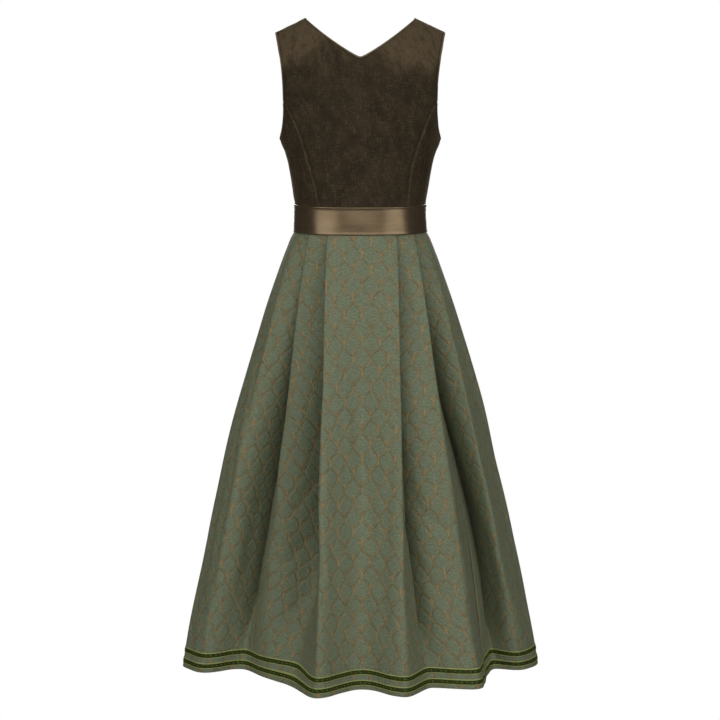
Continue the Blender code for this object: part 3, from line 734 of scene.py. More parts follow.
def jacquard(name, ground, teal, warm, line, dark_line, relief):
    """Scales in rows that overlap by half: each is closed above by two arms, its sides are
    the stems of the row beside it, and a twig stands up from the point below."""
    n = Nodes(name)
    s, v = n.cloth()
    # hand-woven unevenness of the repeat
    wob = n.noise(s, v, 70.0, 50.0, 2.0, 0.6, 3.0)
    s2 = n.math("ADD", s, n.math("MULTIPLY", n.math("SUBTRACT", wob, 0.5), 0.0040))
    wob2 = n.noise(s, v, 70.0, 50.0, 2.0, 0.6, 9.0)
    v2 = n.math("ADD", v, n.math("MULTIPLY", n.math("SUBTRACT", wob2, 0.5), 0.0050))
    half_tall = REPEAT_TALL / 2
    row = n.math("DIVIDE", v2, half_tall)
    odd = n.math("MODULO", n.math("ADD", n.math("FLOOR", row), 400.0), 2.0)
    y = n.math("MULTIPLY", n.math("SUBTRACT", row, n.math("FLOOR", row)), half_tall)
    fold = n.math("PINGPONG", n.math("ADD", s2, n.math("MULTIPLY", odd, REPEAT_WIDE / 2)), REPEAT_WIDE / 2)
    t = n.ramp(y, 0.0, ARCH_TALL, smooth=False)
    curve = n.math("ADD", n.math("MULTIPLY", t, 0.45), n.math("MULTIPLY", n.ramp(t, 0.0, 1.0), 0.55))
    path = n.math("MULTIPLY", curve, REPEAT_WIDE / 2)
    on_arch = n.math("LESS_THAN", t, 0.9999)
    swell = n.math("MULTIPLY", n.math("MULTIPLY", t, n.math("SUBTRACT", 1.0, t)), 3.30)
    slope = n.math("MULTIPLY", n.math("ADD", swell, 0.45), REPEAT_WIDE / 2 / ARCH_TALL)
    slope = n.math("MULTIPLY", slope, on_arch)
    lean = n.math("DIVIDE", 1.0, n.math("SQRT", n.math("ADD", 1.0, n.math("MULTIPLY", slope, slope))))
    side = n.math("SUBTRACT", fold, path)
    gap = n.math("MULTIPLY", n.math("ABSOLUTE", side), lean)
    thick_end = n.math("MAXIMUM", n.ramp(t, 0.22, 0.0), n.ramp(t, 0.88, 1.0))
    edge = n.math("SUBTRACT", gap, n.math("ADD", ARCH_HALF, n.math("MULTIPLY", thick_end, STEM_HALF - ARCH_HALF)))
    outline = n.ramp(edge, -0.00045, 0.00045, 1.0, 0.0)
    # the twig, tapering upward, and a little broken
    thin = n.math("MULTIPLY", n.ramp(y, TWIG * 0.35, TWIG, 1.0, 0.40), TWIG_HALF)
    inside = n.math("SUBTRACT", fold, thin)
    twig = n.math("MULTIPLY", n.ramp(inside, -0.0004, 0.0005, 1.0, 0.0), n.ramp(y, TWIG - 0.003, TWIG, 1.0, 0.0))
    # two pairs of short leaves beside the twig
    sprays = 0.0
    for foot, tip in ((0.0060, 0.0042), (0.0125, 0.0032)):
        leaf_y = n.math("ABSOLUTE", n.math("SUBTRACT", y, n.math("ADD", foot, n.math("MULTIPLY", fold, 1.3))))
        leaf = n.math("MULTIPLY", n.ramp(leaf_y, 0.0003, 0.0011, 1.0, 0.0), n.ramp(fold, tip - 0.0008, tip, 1.0, 0.0))
        sprays = n.math("MAXIMUM", sprays, leaf)
    lines = n.math("MAXIMUM", n.math("MULTIPLY", outline, n.ramp(thick_end, 0.0, 1.0, 0.90, 1.0)), n.math("MAXIMUM", n.math("MULTIPLY", twig, 0.95), n.math("MULTIPLY", sprays, 0.45)))

    # ground: fine weft rib with mottled threads
    big = n.noise(s, v, 24.0, 17.0, 2.0, 0.55, 1.0)
    mottle = n.noise(s, v, 190.0, 240.0, 2.0, 0.70, 5.0)
    fleck = n.noise(s, v, 300.0, 420.0, 1.0, 0.5, 7.0)
    dark = n.noise(s, v, 230.0, 300.0, 1.0, 0.6, 15.0)
    pick = n.noise(s, v, 85.0, 470.0, 1.0, 0.5, 19.0)
    hue = n.noise(s, v, 120.0, 150.0, 2.0, 0.6, 23.0)
    colour = n.mix(n.ramp(mottle, 0.40, 0.60), ground, teal)
    colour = n.mix(n.math("MULTIPLY", n.ramp(fleck, 0.44, 0.62), 0.62), colour, warm)
    colour = n.mix(n.math("MULTIPLY", n.ramp(big, 0.35, 0.7), 0.20), colour, warm)
    colour = n.mix(n.ramp(hue, 0.55, 0.72, 0.0, 0.55), colour, (1.15 * ground[0], 0.95 * ground[1], 1.35 * ground[2]))
    rib = n.math("SINE", n.math("MULTIPLY", v, 2 * math.pi / 0.0013))
    colour = n.mix(n.math("MULTIPLY", n.math("ADD", n.math("MULTIPLY", rib, 0.5), 0.5), 0.18), colour, tuple(0.5 * c for c in ground))
    colour = n.mix(n.ramp(dark, 0.47, 0.64, 0.0, 0.24), colour, tuple(0.42 * c for c in ground))
    colour = n.mix(n.ramp(dark, 0.47, 0.32, 0.0, 0.24), colour, tuple(1.55 * c for c in ground))
    colour = n.mix(n.ramp(pick, 0.52, 0.66, 0.0, 0.22), colour, tuple(0.50 * c for c in ground))
    colour = n.mix(n.ramp(pick, 0.46, 0.34, 0.0, 0.16), colour, tuple(1.60 * c for c in ground))
    tint = n.noise(s, v, 75.0, 55.0, 2.0, 0.6, 11.0)
    thread = n.mix(n.ramp(tint, 0.38, 0.62), line, dark_line)
    # a shadow line runs along one side of the outlines, in places only
    shade = n.math("MULTIPLY", n.ramp(side, -0.0004, 0.0010, 0.12, 1.0), n.ramp(edge, 0.0014, 0.0002))
    faint = n.noise(s, v, 32.0, 26.0, 1.0, 0.5, 29.0)
    colour = n.mix(n.math("MULTIPLY", shade, n.ramp(faint, 0.38, 0.62, 0.16, 0.85)), colour, tuple(0.26 * c for c in ground))
    wear_and_sheen = n.ramp(n.noise(s, v, 260.0, 260.0, 1.0, 0.5, 13.0), 0.30, 0.60, 0.55, 1.0)
    colour = n.mix(n.math("MULTIPLY", lines, wear_and_sheen), colour, thread)
    quilt = n.ramp(edge, 0.0, 0.0045)
    height = n.math("MULTIPLY", quilt, 0.70)
    height = n.math("ADD", height, n.math("MULTIPLY", lines, 0.25))
    height = n.math("ADD", height, n.math("MULTIPLY", rib, 0.05))
    height = n.math("ADD", height, n.math("MULTIPLY", fleck, 0.25))
    height = n.math("ADD", height, n.math("MULTIPLY", dark, -0.25))
    height = n.math("ADD", height, n.math("MULTIPLY", mottle, 0.28))
    height = n.math("ADD", height, n.math("MULTIPLY", hue, 0.90))
    normal = n.bump(height, relief)
    shader = n.add("BsdfPrincipled")
    shader.inputs["Roughness"].default_value = 0.62
    shader.inputs["Specular IOR Level"].default_value = 0.30
    shader.inputs["Sheen Weight"].default_value = 0.10
    shader.inputs["Sheen Roughness"].default_value = 0.45
    shader.inputs["Sheen Tint"].default_value = (0.78, 0.80, 0.62, 1)
    n.link(colour, shader.inputs["Base Color"])
    n.link(normal, shader.inputs["Normal"])
    return n.finish(shader.outputs[0])


def velvet(name, deep, light, sheen_tint, sheen=0.55):
    """Short pile, crushed into fine strokes that lie up and across; the shoulders are painted
    lighter as painted sheen, and a painted highlight runs along the turned edges."""
    n = Nodes(name)
    s, v = n.cloth()
    turned, seam = n.cloth("rim")
    patch = n.noise(s, v, 26.0, 20.0, 3.0, 0.55, 1.0)
    streak = n.noise(s, v, 560.0, 75.0, 2.0, 0.6, 2.0)
    cross = n.noise(s, v, 70.0, 560.0, 2.0, 0.6, 4.0)
    speck = n.noise(s, v, 700.0, 700.0, 1.0, 0.5, 6.0)
    slow = n.noise(s, v, 60.0, 34.0, 3.0, 0.6, 8.0)
    # the shoulder tops and the upper outer sides toward the armholes are painted lighter, with stronger strokes:
    # painted sheen where the pile faces the light from above
    outer = n.math("MULTIPLY", n.ramp(n.math("ABSOLUTE", s), 0.05, 0.14), n.ramp(v, -0.150, -0.045, 0.0, 0.50))
    reach = n.math("ADD", n.math("MULTIPLY", n.ramp(v, -0.095, 0.0, smooth=False), 0.75), outer)
    wear_and_sheen = n.math("MULTIPLY", n.ramp(n.math("ADD", reach, n.math("MULTIPLY", n.math("SUBTRACT", patch, 0.5), 0.75)), 0.20, 0.95), 0.80)
    strokes = n.math("ADD", n.math("MULTIPLY", n.ramp(streak, 0.42, 0.74), 0.42), n.math("MULTIPLY", n.ramp(cross, 0.44, 0.76), 0.42))
    strokes = n.math("MULTIPLY", strokes, n.math("ADD", n.ramp(slow, 0.36, 0.66, 0.35, 1.15), wear_and_sheen))
    lit = n.math("ADD", n.math("MULTIPLY", n.ramp(patch, 0.30, 0.75), 0.22), strokes)
    lit = n.math("ADD", lit, n.math("MULTIPLY", wear_and_sheen, n.ramp(slow, 0.30, 0.62, 0.45, 1.0)))
    lit = n.math("ADD", lit, n.math("MULTIPLY", n.ramp(speck, 0.5, 0.8), 0.16), clamp=True)
    colour = n.mix(lit, deep, light)
    # beside a seam the pile is pressed open
    pressed = n.math("MULTIPLY", n.ramp(seam, 0.0018, 0.0034, 0.0, 1.0), n.ramp(seam, 0.0038, 0.0060, 1.0, 0.0))
    colour = n.mix(n.math("MULTIPLY", pressed, n.ramp(streak, 0.30, 0.70, 0.12, 0.55)), colour, tuple(1.25 * c for c in light))
    # along a turned edge a light band is painted on: a painted highlight on the rolled edge
    edge_highlight = n.ramp(turned, 0.0024, 0.0038, 1.0, 0.0)
    colour = n.mix(n.math("MULTIPLY", edge_highlight, n.ramp(cross, 0.30, 0.70, 0.55, 0.95)), colour, (0.200, 0.155, 0.088))
    # a band a few millimetres inside a turned edge is painted darker: painted shade in the groove that runs there
    tucked = n.math("MULTIPLY", n.ramp(turned, 0.0036, 0.0050, 0.0, 1.0), n.ramp(turned, 0.0058, 0.0085, 1.0, 0.0))
    colour = n.mix(n.math("MULTIPLY", tucked, 0.45), colour, tuple(0.4 * c for c in deep))
    height = n.math("ADD", n.math("MULTIPLY", streak, 0.6), n.math("ADD", n.math("MULTIPLY", cross, 0.6), n.math("MULTIPLY", speck, 0.6)))
    normal = n.bump(height, 0.0011, 0.60)
    shader = n.add("BsdfPrincipled")
    shader.inputs["Roughness"].default_value = 0.85
    shader.inputs["Specular IOR Level"].default_value = 0.12
    shader.inputs["Sheen Weight"].default_value = sheen
    shader.inputs["Sheen Roughness"].default_value = 0.32
    shader.inputs["Sheen Tint"].default_value = (*sheen_tint, 1)
    n.link(colour, shader.inputs["Base Color"])
    n.link(normal, shader.inputs["Normal"])
    return n.finish(shader.outputs[0])


def plain_weave(name, colour, other):
    """The reverse of the velvet: a flat close weave."""
    n = Nodes(name)
    s, v = n.cloth()
    a = n.math("SINE", n.math("MULTIPLY", s, 2 * math.pi / 0.0009))
    b = n.math("SINE", n.math("MULTIPLY", v, 2 * math.pi / 0.0009))
    weave = n.math("MULTIPLY", a, b)
    mottle = n.noise(s, v, 260.0, 260.0, 2.0, 0.6, 1.0)
    base = n.mix(n.ramp(mottle, 0.3, 0.7), colour, other)
    normal = n.bump(n.math("ADD", n.math("MULTIPLY", weave, 0.5), mottle), 0.0004, 0.6)
    shader = n.add("BsdfPrincipled")
    shader.inputs["Roughness"].default_value = 0.9
    shader.inputs["Specular IOR Level"].default_value = 0.15
    n.link(base, shader.inputs["Base Color"])
    n.link(normal, shader.inputs["Normal"])
    return n.finish(shader.outputs[0])


def satin(name):
    n = Nodes(name)
    s, v = n.cloth()
    threads = n.noise(s, v, 90.0, 2600.0, 2.0, 0.5, 1.0)
    pool = n.noise(s, v, 14.0, 60.0, 2.0, 0.5, 3.0)
    colour = n.mix(n.ramp(pool, 0.3, 0.7), (0.172, 0.121, 0.066), (0.150, 0.107, 0.060))
    colour = n.mix(n.math("MULTIPLY", n.ramp(threads, 0.35, 0.7), 0.16), colour, (0.112, 0.076, 0.040))
    height = n.math("ADD", n.math("MULTIPLY", threads, 0.25), n.math("MULTIPLY", pool, 1.6))
    normal = n.bump(height, 0.0004, 0.35)
    shader = n.add("BsdfPrincipled")
    shader.inputs["Metallic"].default_value = 0.72
    shader.inputs["Roughness"].default_value = 0.26
    shader.inputs["Specular IOR Level"].default_value = 0.5
    shader.inputs["Sheen Weight"].default_value = 0.10
    shader.inputs["Sheen Roughness"].default_value = 0.3
    shader.inputs["Sheen Tint"].default_value = (0.9, 0.75, 0.55, 1)
    n.link(colour, shader.inputs["Base Color"])
    n.link(normal, shader.inputs["Normal"])
    return n.finish(shader.outputs[0])


def ribbon_material(name):
    """Velvet ribbon: woven light edges, dark pile, a row of small lighter picks."""
    n = Nodes(name)
    s, v = n.cloth()
    wide = 0.0115
    off = n.math("ABSOLUTE", n.math("SUBTRACT", v, wide / 2))
    edge = n.ramp(off, wide / 2 - 0.0019, wide / 2 - 0.0013)
    mottle = n.noise(s, v, 260.0, 420.0, 2.0, 0.6, 1.0)
    pile = n.mix(n.ramp(mottle, 0.35, 0.70), (0.0170, 0.0235, 0.0015), (0.048, 0.064, 0.005))
    along = n.math("ABSOLUTE", n.math("WRAP", s, 0.0049, -0.0049))
    jitter = n.noise(s, v, 120.0, 30.0, 1.0, 0.5, 8.0)
    pick = n.math("MULTIPLY", n.ramp(along, 0.0010, 0.0021, 1.0, 0.0), n.ramp(off, 0.0007, 0.0016, 1.0, 0.0))
    pick = n.math("MULTIPLY", pick, n.ramp(jitter, 0.35, 0.60, 0.15, 0.85))
    pile = n.mix(pick, pile, (0.130, 0.165, 0.040))
    rib = n.math("SINE", n.math("MULTIPLY", s, 2 * math.pi / 0.0016))
    fray = n.noise(s, v, 500.0, 500.0, 1.0, 0.5, 2.0)
    woven = n.mix(n.ramp(fray, 0.3, 0.75), (0.300, 0.340, 0.110), (0.430, 0.460, 0.190))
    colour = n.mix(edge, pile, woven)
    height = n.math("ADD", n.math("MULTIPLY", mottle, 1.0), n.math("MULTIPLY", n.math("MULTIPLY", rib, edge), 0.25))
    normal = n.bump(height, 0.0005, 0.6)
    shader = n.add("BsdfPrincipled")
    shader.inputs["Roughness"].default_value = 0.75
    shader.inputs["Specular IOR Level"].default_value = 0.2
    shader.inputs["Sheen Weight"].default_value = 0.25
    shader.inputs["Sheen Roughness"].default_value = 0.35
    shader.inputs["Sheen Tint"].default_value = (0.50, 0.58, 0.10, 1)
    n.link(colour, shader.inputs["Base Color"])
    n.link(normal, shader.inputs["Normal"])
    return n.finish(shader.outputs[0])


# ---------------------------------------------------------------- meshes


def unit(v):
    return v / np.maximum(np.linalg.norm(v, axis=-1, keepdims=True), 1e-12)


def sheet_mesh(name, layers, uv, materials, kinds, closed=False, rim=None):
    """A closed skin round the grids in layers, outermost first: the first is the face,
    the last the reverse, and those between round off the rims. All grids are rows by
    columns by 3, columns anticlockwise from above and rows upward. kinds gives the
    material of the face, of the rims and of the reverse. rim is a second map: how far
    each point lies from a turned edge and from a seam."""
    rows, columns = layers[0].shape[:2]
    deep = len(layers)
    points = np.concatenate([g.reshape(-1, 3) for g in layers])
    size = rows * columns
    grid = np.arange(size).reshape(rows, columns)
    if closed:
        grid = np.concatenate([grid, grid[:, :1]], axis=1)

    def quads(a, b, c, d):
        return np.stack([a.ravel(), b.ravel(), c.ravel(), d.ravel()], -1)

    def strip(line, order, flip):
        """Faces between one layer's rim and the next along a line of grid points."""
        found = []
        for k in range(deep - 1):
            a, b = line[:-1] + k * size, line[1:] + k * size
            c, d = line[1:] + (k + 1) * size, line[:-1] + (k + 1) * size
            found.append(quads(a, b, c, d) if not flip else quads(a, d, c, b))
        return np.concatenate(found)

    face = quads(grid[:-1, :-1], grid[:-1, 1:], grid[1:, 1:], grid[1:, :-1])
    back = quads(grid[:-1, :-1], grid[1:, :-1], grid[1:, 1:], grid[:-1, 1:]) + (deep - 1) * size
    rims = [strip(grid[0], 0, True), strip(grid[-1], 0, False)]
    if not closed:
        rims += [strip(grid[:, 0], 0, False), strip(grid[:, -1], 0, True)]
    rims = np.concatenate(rims)
    faces = np.concatenate([face, rims, back])
    kind = np.concatenate([np.full(len(face), kinds[0]), np.full(len(rims), kinds[1]), np.full(len(back), kinds[2])])
    mesh = bpy.data.meshes.new(name)
    # only the points that a face uses
    used, place = np.unique(faces, return_inverse=True)
    mesh.from_pydata(points[used], [], place.reshape(faces.shape))
    layer = mesh.uv_layers.new(name="cloth")
    flat = np.tile(uv.reshape(-1, 2), (deep, 1))
    loops = flat[faces.ravel()].reshape(-1, 4, 2)
    if closed:
        total = uv[0, -1, 0] + (uv[0, -1, 0] - uv[0, -2, 0])
        wrapped = (loops[..., 0].max(1) - loops[..., 0].min(1)) > 0.5 * abs(total - uv[0, 0, 0])
        low = loops[..., 0] < (total + uv[0, 0, 0]) / 2
        loops[..., 0] += np.where(wrapped[:, None] & low, total - uv[0, 0, 0], 0.0)
    layer.data.foreach_set("uv", loops.reshape(-1).astype(np.float32))
    if rim is not None:
        far = np.tile(rim.reshape(-1, 2), (deep, 1))[faces.ravel()]
        mesh.uv_layers.new(name="rim").data.foreach_set("uv", far.reshape(-1).astype(np.float32))
    for material in materials:
        mesh.materials.append(material)
    mesh.polygons.foreach_set("material_index", kind.astype(np.int32))
    mesh.shade_smooth()
    mesh.validate()
    mesh.update()
    piece = bpy.data.objects.new(name, mesh)
    bpy.context.scene.collection.objects.link(piece)
    return piece


def normals_of(middle, closed=False):
    """Outward normals of a grid whose columns run anticlockwise and rows upward."""
    if closed:
        across = np.roll(middle, -1, axis=1) - np.roll(middle, 1, axis=1)
    else:
        across = np.gradient(middle, axis=1)
    return unit(np.cross(across, np.gradient(middle, axis=0)))


def thick(middle, normal, wall):
    """Face and reverse of a wall."""
    h = wall / 2
    return [middle + normal * h, middle - normal * h]


def keep(piece, node):
    """The piece rides with the dress and stands for its solid."""
    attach(piece, "root")
    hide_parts(node)
    return piece


# ---------------------------------------------------------------- skirt

SKIRT_WALL = 0.0009
DROP = WAIST_LOW - HEM
# The four cloth widths: name, first place, last place, place its pattern starts from
WIDTHS = (
    ("skirt_back", 23.5, 30.5, 27.0),
    ("skirt_side_right", 2.5, 9.5, 6.0),
    ("skirt_front", 9.5, 16.5, 13.0),
    ("skirt_side_left", 16.5, 23.5, 20.0),
)
# The ribbons: name, lower and upper edge above the hem
RIBBONS = (("ribbon_lower", 0.0080, 0.0195), ("ribbon_upper", 0.0295, 0.0410))
# Share of the way from one corner to the next, close together at the folds
STEPS = (0.0, 0.014, 0.03, 0.05, 0.075, 0.108, 0.15, 0.20, 0.26, 0.33, 0.41, 0.5)

# Soft creases of the skirt, besides its folds: place round it, height of its middle
# above the hem, length, width, depth (trough below zero, ridge above), lean from upright
# place, height, length, width, depth, lean
CREASES = (
    (27.55, 0.300, 0.560, 0.013, -0.0030, 1.5),
    (26.45, 0.250, 0.520, 0.012, -0.0028, -1.5),
    (27.02, 0.520, 0.420, 0.016, -0.0022, 0.0),
    (26.72, 0.560, 0.360, 0.012, 0.0016, 0.0),
    (27.30, 0.600, 0.300, 0.012, 0.0015, 1.0),
    (25.45, 0.180, 0.140, 0.012, -0.0030, 38.0),
    (25.30, 0.300, 0.120, 0.011, -0.0026, 42.0),
    (25.60, 0.420, 0.110, 0.010, -0.0022, 35.0),
    (24.60, 0.140, 0.150, 0.012, -0.0030, 36.0),
    (24.45, 0.260, 0.130, 0.012, -0.0028, 44.0),
    (24.55, 0.380, 0.120, 0.010, -0.0024, 38.0),
    (23.80, 0.200, 0.160, 0.012, -0.0024, 30.0),
    (22.60, 0.260, 0.420, 0.014, -0.0030, 2.0),
    (22.40, 0.120, 0.180, 0.012, 0.0020, -6.0),
    (0.45, 0.330, 0.160, 0.012, -0.0030, -38.0),
    (0.60, 0.460, 0.130, 0.010, -0.0024, -40.0),
    (0.35, 0.190, 0.170, 0.012, -0.0028, -32.0),
    (1.40, 0.360, 0.150, 0.012, -0.0030, -36.0),
    (1.55, 0.500, 0.120, 0.010, -0.0022, -42.0),
    (1.35, 0.220, 0.160, 0.012, -0.0028, -34.0),
    (2.50, 0.300, 0.380, 0.014, -0.0030, -3.0),
    (3.50, 0.200, 0.340, 0.014, -0.0028, 2.0),
    (4.50, 0.320, 0.420, 0.016, -0.0034, 0.0),
    (5.40, 0.260, 0.500, 0.016, -0.0030, 2.0),
    (6.60, 0.300, 0.460, 0.015, -0.0028, -2.0),
    (7.50, 0.220, 0.360, 0.014, -0.0028, 1.0),
    (8.45, 0.300, 0.140, 0.012, -0.0026, 36.0),
    (9.55, 0.340, 0.150, 0.012, -0.0028, 38.0),
    (10.45, 0.240, 0.160, 0.012, -0.0028, 34.0),
    (11.50, 0.400, 0.130, 0.010, -0.0024, 40.0),
    (12.50, 0.280, 0.520, 0.013, -0.0028, 1.0),
    (13.50, 0.300, 0.540, 0.013, -0.0030, -1.0),
    (13.00, 0.560, 0.360, 0.015, -0.0020, 0.0),
    (14.55, 0.330, 0.150, 0.012, -0.0028, -36.0),
    (15.45, 0.220, 0.160, 0.012, -0.0026, -38.0),
    (16.50, 0.380, 0.140, 0.011, -0.0026, -34.0),
    (17.45, 0.260, 0.150, 0.012, -0.0026, -38.0),
    (18.50, 0.240, 0.360, 0.014, -0.0028, 2.0),
    (19.45, 0.300, 0.460, 0.016, -0.0030, -1.0),
    (20.55, 0.260, 0.440, 0.016, -0.0032, 2.0),
    (21.50, 0.320, 0.400, 0.015, -0.0030, -2.0),
)


def ease_all(t):
    t = np.clip(t, 0, 1)
    return t * t * (3 - 2 * t)


def relief(coordinate, height, u, at_places):
    """How far the cloth stands off its smooth form, from the creases and a slow
    unevenness. coordinate runs round the cloth, height is above the hem."""
    around = coordinate[0, -1] - coordinate[0, 0]
    off = np.zeros_like(coordinate)
    for place, mid, length, width, depth, lean in CREASES:
        ds = coordinate - at_places(place)
        ds = ds - around * np.round(ds / around)
        dh = height - mid
        a = math.radians(lean)
        along = dh * math.cos(a) + ds * math.sin(a)
        over = ds * math.cos(a) - dh * math.sin(a)
        over = over + 0.004 * np.sin(along / length * 5.0 + place)
        off += depth * np.exp(-((over / width) ** 2)) * ease_all(1.6 * (1 - np.abs(along) / (length / 2)))
    # name of wave: round the cloth, up it, phase, size
    waves = ((5, 1.3, 0.4, 0.0010), (11, 2.1, 1.9, 0.0008), (17, 1.1, 3.1, 0.0007), (29, 2.6, 5.2, 0.0005), (43, 3.7, 0.9, 0.0004), (61, 5.0, 2.2, 0.0003))
    for turns, up, phase, size in waves:
        off += size * np.sin(2 * math.pi * (turns * coordinate / around + up * height / DROP) + phase)
    return off * ease_all((u - 0.10) / 0.35)


# Sinks: behind a fold's covering edge the cloth dips further in. For each trough how deep,
# how far under the edge, its reach along the cloth, and the shares of the height over
# which it comes and goes
# trough, deep, under, wide, comes from, comes to, goes from, goes to
SINKS = (
    ("back_right_12", 0.022, 0.010, 0.0125, 0.08, 0.34, 0.78, 0.97),
    ("back_right_23", 0.022, 0.010, 0.0165, 0.20, 0.48, 0.78, 0.96),
    ("front_right_32", 0.018, 0.011, 0.0190, 0.10, 0.40, 0.80, 1.05),
    ("front_right_21", 0.018, 0.011, 0.0180, 0.10, 0.38, 0.76, 0.95),
    ("front_left_12", 0.018, 0.011, 0.0170, 0.08, 0.36, 0.80, 1.00),
    ("front_left_23", 0.018, 0.011, 0.0200, 0.10, 0.42, 0.82, 1.10),
    ("back_left_32", 0.022, 0.011, 0.0140, 0.10, 0.40, 0.80, 0.99),
    ("back_left_21", 0.020, 0.012, 0.0150, 0.08, 0.34, 0.70, 0.90),
)
# The innermost turn of the pleat beside the middle lies a little further in, just below
# the belt: how far in, its reach along the cloth, its height share and reach up
NIP = (25, 0.0028, 0.030, 0.013, 0.011)


def sunk(form, u, xy, s):
    """The row with the cloth sunk at the troughs that lie behind an edge."""
    corner = form.corners(u)
    at = form.cloth(u)
    n = 2 * form.n
    around = at[n] - at[0]

    def away_from(place):
        away = s - at[place]
        return away - around * np.round(away / around)

    out = xy.copy()
    for name, deep, under, wide, come, full, go, gone in SINKS:
        k = [trough[0] for trough in TROUGHS].index(name)
        p, q = corner[2 * k], corner[(2 * k + 2) % n]
        chord = (q - p) / np.hypot(*(q - p))
        inward = np.array([-chord[1], chord[0]]) * deep + chord * under * TROUGHS[k][3]
        share = float(ease_all((u - come) / (full - come)) * (1 - ease_all((u - go) / (gone - go))))
        out += inward * (share * np.exp(-((away_from(2 * k + 1) / wide) ** 2)))[:, None]
    place, deep, wide, high, reach = NIP
    out[:, 1] += deep * np.exp(-((away_from(place) / wide) ** 2)) * math.exp(-(((u - high) / reach) ** 2))
    return out


def skirt():
    form = Skirt()
    n = 2 * form.n
    steps = np.array(STEPS + tuple(1 - t for t in reversed(STEPS[1:-1])))
    places = (np.arange(n)[:, None] + steps).reshape(-1)
    edges = [1 - e / DROP for _, low, high in RIBBONS for e in (low, high)]
    inner_lines = [1 - e / DROP for _, low, high in RIBBONS for e in np.linspace(low, high, 9)[1:-1]]
    us = np.concatenate([np.linspace(0, 0.10, 24), np.linspace(0.10, 1 - 0.0455 / DROP, 132)[1:], edges, inner_lines, [1 - 0.0250 / DROP, 1 - 0.0040 / DROP, 1.0]])
    us = np.unique(np.round(us, 7))[::-1]
    middle, coordinate = [], []
    for u in us:
        xy, s = form.plan(u, np.append(places, places[0] + n))
        xy = sunk(form, u, xy, s)
        middle.append(np.column_stack([xy, np.full(len(xy), WAIST_LOW - DROP * u)]))
        coordinate.append(s)
    middle, coordinate = np.array(middle), np.array(coordinate)
    # a short straight run up behind the belt
    u_all = np.append(us, [-0.004, -TUCK / DROP])
    top = [middle[-1] + np.array([0, 0, 0.0035]), middle[-1] + np.array([0, 0, TUCK])]
    middle = np.concatenate([middle, np.array(top)])
    coordinate = np.concatenate([coordinate, coordinate[-1:], coordinate[-1:]])
    rise = np.linalg.norm(np.diff(middle, axis=0), axis=-1)
    height = np.concatenate([np.zeros((1, middle.shape[1])), np.cumsum(rise, axis=0)])

    def at_places(place):
        return float(np.interp(place, np.append(places, places[0] + n), coordinate[0]))

    normal = normals_of(middle[:, :-1], closed=True)
    level = WAIST_LOW - middle[..., 2]
    off = relief(coordinate, height, level / DROP, at_places)[:, :-1]
    middle = middle[:, :-1] + normal * off[..., None]
    normal = normals_of(middle, closed=True)
    # the cloth's own length along each row, which its pattern follows
    run = np.linalg.norm(np.roll(middle, -1, axis=1) - middle, axis=-1)
    length = np.concatenate([np.zeros((len(run), 1)), np.cumsum(run, axis=1)], axis=1)
    total = length[:, -1]

    cloth = jacquard("skirt_jacquard", (0.186, 0.212, 0.127), (0.148, 0.222, 0.148), (0.226, 0.210, 0.108), (0.400, 0.240, 0.084), (0.235, 0.146, 0.052), 0.0013)
    reverse = jacquard("skirt_jacquard_reverse", (0.300, 0.275, 0.178), (0.255, 0.270, 0.192), (0.330, 0.295, 0.184), (0.235, 0.280, 0.198), (0.172, 0.205, 0.140), 0.0007)
    pieces = {}
    for name, first, last, start in WIDTHS:
        i, j, k = (int(np.searchsorted(places, p % n)) for p in (first, last, start))
        columns = np.arange(i, j + 1 + len(places) * (j < i))
        turn, index = np.divmod(columns, len(places))
        across = length[:, index] + turn * total[:, None]
        k += len(places) * (k < i)
        origin = length[:, k % len(places)] + (k // len(places)) * total
        uv = np.stack([across - origin[:, None], height[:, index]], -1)
        part, out = middle[:, index].copy(), normal[:, index]
        part[:, 0] += unit(part[:, 1] - part[:, 0]) * GAP / 2
        part[:, -1] += unit(part[:, -2] - part[:, -1]) * GAP / 2
        piece = sheet_mesh(name + "_cloth", thick(part, out, SKIRT_WALL), uv, [cloth, reverse], (0, 0, 1))
        keep(piece, name)
        pieces[name] = piece

    velour = ribbon_material("ribbon_velvet")
    for name, low, high in RIBBONS:
        rows = np.where((us >= 1 - high / DROP - 1e-6) & (us <= 1 - low / DROP + 1e-6))[0]
        base, out = middle[rows], normal[rows]
        part = np.linspace(0, 1, len(rows))
        plump = np.where(np.minimum(part, 1 - part) < 0.13, 0.00045, 0.00085)
        face = base + out * (SKIRT_WALL / 2 + 0.0003 + plump[:, None, None])
        back = base + out * (SKIRT_WALL / 2 + 0.0002)
        uv = np.stack([length[rows][:, :-1], (height[rows] - height[rows[0]])[:, :-1]], -1)
        piece = sheet_mesh(name + "_cloth", [face, back], uv, [velour], (0, 0, 0), closed=True)
        keep(piece, name)
    return form


# ---------------------------------------------------------------- bodice


